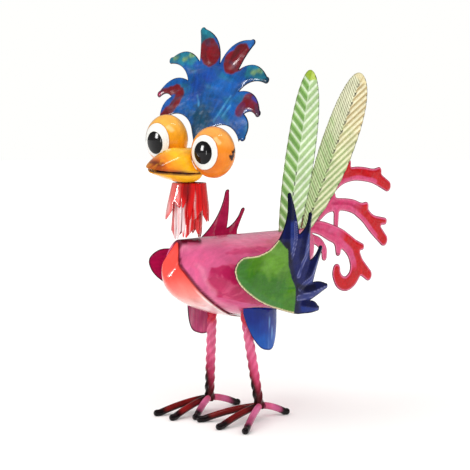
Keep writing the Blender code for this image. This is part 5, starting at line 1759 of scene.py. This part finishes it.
def paint_back_feather(skin, feather, along, across, length):
    """Pale left half with fine dark lines, straw ribs on the right and dark dashes down the midrib."""
    phase = chevrons(feather, along, across)
    share = along / length
    flow = wander(np.column_stack((across, along)), 20.0, 82)
    left = smooth(-across, -0.2, 0.3)
    green = falling(share + flow * 0.08, 0.38, 0.8)
    skin.coat(STRAW)
    skin.lay(left * 0.8, CHALK)
    skin.lay(green * 0.75, PALE_GREEN)
    skin.lay((1 - left) * band(phase, 0.04, 0.36, 0.07) * (1 - green) * 0.85, TAN)
    skin.lay((1 - left) * band(phase, 0.04, 0.30, 0.07) * green * 0.7, SAGE)
    skin.lay((1 - left) * falling(np.abs(phase - 0.95), 0.02, 0.06) * 0.5, OLIVE)
    skin.lay((1 - left) * band(phase, 0.52, 0.82, 0.07) * 0.7, CREAM_WHITE)
    fine = (phase * FINE_RIBS) % 1.0
    skin.lay(left * falling(np.abs(fine - 0.5), 0.13, 0.24) * 0.72, OLIVE)
    skin.lay(left * band(phase, 0.1, 0.3, 0.05) * green * 0.5, MEADOW)
    length_share = smooth(share, 0.06, 0.1) * falling(share, 0.92, 0.95)
    beside = falling(np.abs(across - 0.3), 0.9, 1.3)
    core = falling(np.abs(across - 0.3), 0.25, 0.5) * band(phase, 0.66, 0.84, 0.03)
    skin.lay(band(phase, 0.55, 0.95, 0.03) * beside * length_share * (1 - core * 0.7), PINE)
    tip = smooth(along, length - 9.0, length - 6.0)
    skin.lay(tip * 0.8, STRAW)
    skin.lay(tip * band(flow, -0.15, 0.15, 0.1) * 0.4, TAN)
    feather_edges(skin, phase, across)


# tail plumes


def plume_field(runs, low, shape):
    """Signed distance from a grid of cells to the joined bands, softened where bands meet."""
    ys, zs = np.meshgrid(low[0] + PLUME_CELL * np.arange(shape[0]), low[1] + PLUME_CELL * np.arange(shape[1]),
                         indexing="ij")
    field = None
    for run in runs:
        line = np.array(smooth_run(run, 6)) if len(run) > 2 else np.array(run, float)
        best = None
        for a, b in zip(line, line[1:]):
            d = b - a
            t = np.clip(((ys - a[0]) * d[0] + (zs - a[1]) * d[1]) / (d[0] ** 2 + d[1] ** 2), 0.0, 1.0)
            gap = np.hypot(ys - a[0] - d[0] * t, zs - a[1] - d[1] * t) - (a[2] + d[2] * t)
            best = gap if best is None else np.minimum(best, gap)
        if field is None:
            field = best
        else:
            soft = np.clip(1 - np.abs(field - best) / 3.0, 0.0, None)
            field = np.minimum(field, best) - soft * soft * 3.0 / 4
    return field


def trace(field, low):
    """Longest closed line where the field crosses zero, found cell by cell."""
    def crossing(i, j, m, n):
        a, b = field[i, j], field[m, n]
        t = a / (a - b)
        return (low[0] + PLUME_CELL * (i + (m - i) * t), low[1] + PLUME_CELL * (j + (n - j) * t))

    links = {}
    for i, j in zip(*np.nonzero(np.abs(field[:-1, :-1]) < PLUME_CELL * 3)):
        corners = ((i, j), (i + 1, j), (i + 1, j + 1), (i, j + 1))
        signs = [field[c] < 0 for c in corners]
        ends = []
        for k in range(4):
            if signs[k] != signs[(k + 1) % 4]:
                ends.append((tuple(sorted((corners[k], corners[(k + 1) % 4]))), signs[k]))
        outs = [e for e, s in ends if s]
        ins = [e for e, s in ends if not s]
        for a, b in zip(outs, ins):
            links[a] = b
    best = []
    while links:
        start = next(iter(links))
        loop = [start]
        here = links.pop(start)
        while here != start and here in links:
            loop.append(here)
            here = links.pop(here)
        if len(loop) > len(best):
            best = loop
    return [crossing(*a, *b) for a, b in best]


def plume_outline(plume):
    runs = [run for key, run in plume.items() if key != "plane"]
    every = np.array([p for run in runs for p in run])
    low = every[:, :2].min(0) - 12.0
    high = every[:, :2].max(0) + 12.0
    shape = np.ceil((high - low) / PLUME_CELL).astype(int) + 1
    return [tuple(p) for p in even_steps(trace(plume_field(runs, low, shape), low), 1.2)]


def stem_places(places, stem):
    """Share along a plume's stem and signed distance beside it, outer side positive."""
    line = np.array(smooth_run(stem, 8))[:, :2]
    lengths = np.concatenate(([0.0], np.cumsum(np.hypot(*np.diff(line, axis=0).T))))
    best = np.full(len(places), 1e9)
    along = np.zeros(len(places))
    beside = np.zeros(len(places))
    for i, (a, b) in enumerate(zip(line, line[1:])):
        d = b - a
        t = np.clip(((places - a) @ d) / (d @ d), 0.0, 1.0)
        away = places - a - t[:, None] * d
        gap = np.linalg.norm(away, axis=1)
        closer = gap < best
        sign = np.sign(-(d[0] * away[:, 1] - d[1] * away[:, 0]))
        best = np.where(closer, gap, best)
        along = np.where(closer, (lengths[i] + t * (lengths[i + 1] - lengths[i])) / lengths[-1], along)
        beside = np.where(closer, gap * -sign, beside)
    return along, beside


def make_plumes():
    material = enamel("plume_enamel", 0.10, (0.12, 0.3, 0.5), 0.14, rim=WINE, rim_width=0.8,
                      rough=(0.16, 0.34), dent=0.0003, coat=0.4)
    # the upper two stand on the back between the places given, the others start behind the tail
    plan = (("tail_plume_upper", UPPER_PLUME, (78.0, 88.0), paint_upper),
            ("tail_plume_middle", MIDDLE_PLUME, (80.0, 89.5), paint_middle),
            ("tail_plume_lower", LOWER_PLUME, None, paint_lower),
            ("tail_plume_bottom", BOTTOM_PLUME, None, paint_bottom))
    for name, plume, span, paint in plan:
        x = plume["plane"]
        outline = [(u - x, v) for u, v in plume_outline(plume)]
        if span:
            floor = rest_height(x, *span)
            outline = [(u, max(v, floor) if u < TAIL_Y + 8.0 else v) for u, v in outline]
        else:
            outline = clip(outline, 0, TAIL_Y + GAP)

        def relief(u, v, inward):
            return 0.45 * smooth(inward, 0.4, 3.6) - 0.25 + 0.25 * wander(np.column_stack((u, v)), 20.0, 91)
        skin = plate(outline, lambda u, v, x=x: np.column_stack((x + 0 * u, u, v)), 0.95, relief=relief)
        places = np.column_stack((skin.marks["u"] + x, skin.marks["v"]))
        along, beside = stem_places(places, plume["stem"])
        flow = wander(places, 12.0, 92)
        skin.coat(FUCHSIA)
        skin.lay(smooth(flow, 0.0, 0.9) * 0.4, PINK)
        # lighter pink border: partly paint, partly a painted highlight along the edges
        skin.lay(falling(skin.marks["edge"], 1.0, 2.6) * 0.45, PALE_PINK)
        paint(skin, along, beside, flow)
        skin.grain = np.column_stack((along * 200, beside, skin.marks["face"] * 40))
        add_piece(name, skin, material, radians(45))


def inner_band(skin, near, far):
    """Mask of what lies further in from the edge."""
    return smooth(skin.marks["edge"], near, far)


def paint_upper(skin, along, beside, flow):
    end = smooth(along + flow * 0.02, 0.42, 0.5)
    centre = inner_band(skin, 1.4, 2.6)
    skin.lay(end * centre * smooth(beside + flow * 0.6, -2.8, -1.2), SCARLET)
    skin.lay(smooth(along + flow * 0.02, 0.86, 0.9) * inner_band(skin, 0.8, 1.8), SCARLET)
    stripe = smooth(along, 0.15, 0.3) * falling(along, 0.45, 0.6) * falling(np.abs(beside), 0.4, 2.4)
    skin.lay(stripe * 0.6, CRIMSON)


def paint_middle(skin, along, beside, flow):
    centre = inner_band(skin, 1.6, 2.8)
    line = falling(np.abs(beside - 1.0 + flow * 0.5), 0.8, 1.9)
    skin.lay(smooth(along, 0.28, 0.38) * falling(along, 0.66, 0.78) * line * 0.9, CRIMSON)
    skin.lay(smooth(along + flow * 0.02, 0.56, 0.68) * centre * smooth(beside, -3.2, -1.6), SCARLET)
    skin.lay(smooth(along + flow * 0.01, 0.9, 0.94) * inner_band(skin, 1.2, 2.2), SCARLET)


def paint_lower(skin, along, beside, flow):
    centre = inner_band(skin, 1.0, 2.2)
    outer = smooth(beside + flow * 0.6, -1.6, 0.6)
    skin.lay(smooth(along + flow * 0.02, 0.34, 0.42) * centre * outer, SCARLET)
    skin.lay(smooth(along, 0.6, 0.72) * inner_band(skin, 1.6, 2.8), SCARLET)
    bands = falling(np.abs(beside + 1.0 + flow), 0.6, 2.2)
    skin.lay(falling(along, 0.28, 0.4) * bands * 0.55, CRIMSON)


def paint_bottom(skin, along, beside, flow):
    skin.lay(falling(along, 0.2, 0.6) * 0.3, CRIMSON)
    skin.lay(inner_band(skin, 1.2, 2.4) * 0.25, PINK)


# stage


def make_floor():
    bm = bmesh.new()
    bmesh.ops.create_circle(bm, cap_ends=True, cap_tris=False, radius=FLOOR_RADIUS, segments=96)
    mesh = bpy.data.meshes.new("floor")
    bm.to_mesh(mesh)
    bm.free()
    n = Nodes("floor_paper")
    n.put(n.shader.inputs["Base Color"], (0.96, 0.955, 0.945))
    n.put(n.shader.inputs["Roughness"], 0.65)
    n.put(n.shader.inputs["Specular IOR Level"], 0.0)
    mesh.materials.append(n.material)
    floor = bpy.data.objects.new("floor", mesh)
    bpy.context.scene.collection.objects.link(floor)


def aim(thing, target):
    thing.rotation_euler = (Vector(target) - thing.location).to_track_quat("-Z", "Y").to_euler()


def glint_panel(name, place, size, power):
    """Lit panel that shows only as a highlight in the gloss."""
    data = bpy.data.lights.new(name, "AREA")
    data.shape = "RECTANGLE"
    data.size, data.size_y = size
    data.energy = power
    light = bpy.data.objects.new(name, data)
    light.visible_diffuse = False
    light.location = place
    bpy.context.scene.collection.objects.link(light)
    aim(light, PANELS_AIM)


def soft_sun(name, toward, strength, spread):
    """Even light over the whole floor, coming from the given side."""
    data = bpy.data.lights.new(name, "SUN")
    data.energy = strength
    data.angle = spread
    light = bpy.data.objects.new(name, data)
    light.visible_glossy = False
    light.location = Vector(toward).normalized() * 2.0
    bpy.context.scene.collection.objects.link(light)
    aim(light, (0, 0, 0))


def make_world():
    """White surroundings, dimmer as a light and in the gloss than they show."""
    world = bpy.data.worlds.new("tent")
    world.use_nodes = True
    tree = world.node_tree
    seen = tree.nodes.new("ShaderNodeLightPath")
    below = tree.nodes["Background"]
    below.inputs["Strength"].default_value = WORLD_LIGHT
    for ray, strength in (("Is Glossy Ray", WORLD_GLOSS), ("Is Camera Ray", 1.0)):
        above = tree.nodes.new("ShaderNodeBackground")
        above.inputs["Strength"].default_value = strength
        either = tree.nodes.new("ShaderNodeMixShader")
        tree.links.new(seen.outputs[ray], either.inputs[0])
        tree.links.new(below.outputs[0], either.inputs[1])
        tree.links.new(above.outputs[0], either.inputs[2])
        below = either
    for node in tree.nodes:
        if node.type == "BACKGROUND":
            node.inputs["Color"].default_value = (1.0, 1.0, 0.985, 1.0)
    tree.links.new(below.outputs[0], tree.nodes["World Output"].inputs["Surface"])
    bpy.context.scene.world = world
    bpy.context.scene.view_settings.view_transform = "Standard"


def make_lights():
    """Two broad lights, and panels for the highlights in the gloss."""
    soft_sun("key", (-0.20, -0.45, 0.87), 1.2, radians(70))
    soft_sun("fill", (0.80, -0.30, 0.50), 0.75, radians(80))
    glint_panel("window", (-0.60, -1.00, 0.42), (0.20, 0.24), 6.5)
    glint_panel("low strip", (-0.30, -1.22, 0.20), (0.05, 0.22), 0.5)
    glint_panel("overhead", (0.30, -0.20, 1.30), (0.50, 0.14), 3.0)


def make_camera():
    data = bpy.data.cameras.new("camera")
    data.sensor_width = SENSOR
    data.lens = FOCAL_PIXELS / IMAGE_SIDE * SENSOR
    data.clip_start = 0.05
    data.clip_end = 30.0
    camera = bpy.data.objects.new("camera", data)
    camera.location = CAMERA_PLACE
    level = cos(CAMERA_DOWN)
    look = Vector((-sin(CAMERA_TURN) * level, cos(CAMERA_TURN) * level, -sin(CAMERA_DOWN)))
    camera.rotation_euler = look.to_track_quat("-Z", "Y").to_euler()
    bpy.context.scene.collection.objects.link(camera)
    bpy.context.scene.camera = camera


make_camera()
make_body()
make_breast()
make_eyes()
make_crest()
make_upper_beak()
make_lower_beak()
make_neck()
make_wings()
make_thighs()
make_feet()
make_feathers()
make_plumes()
make_floor()
make_world()
make_lights()
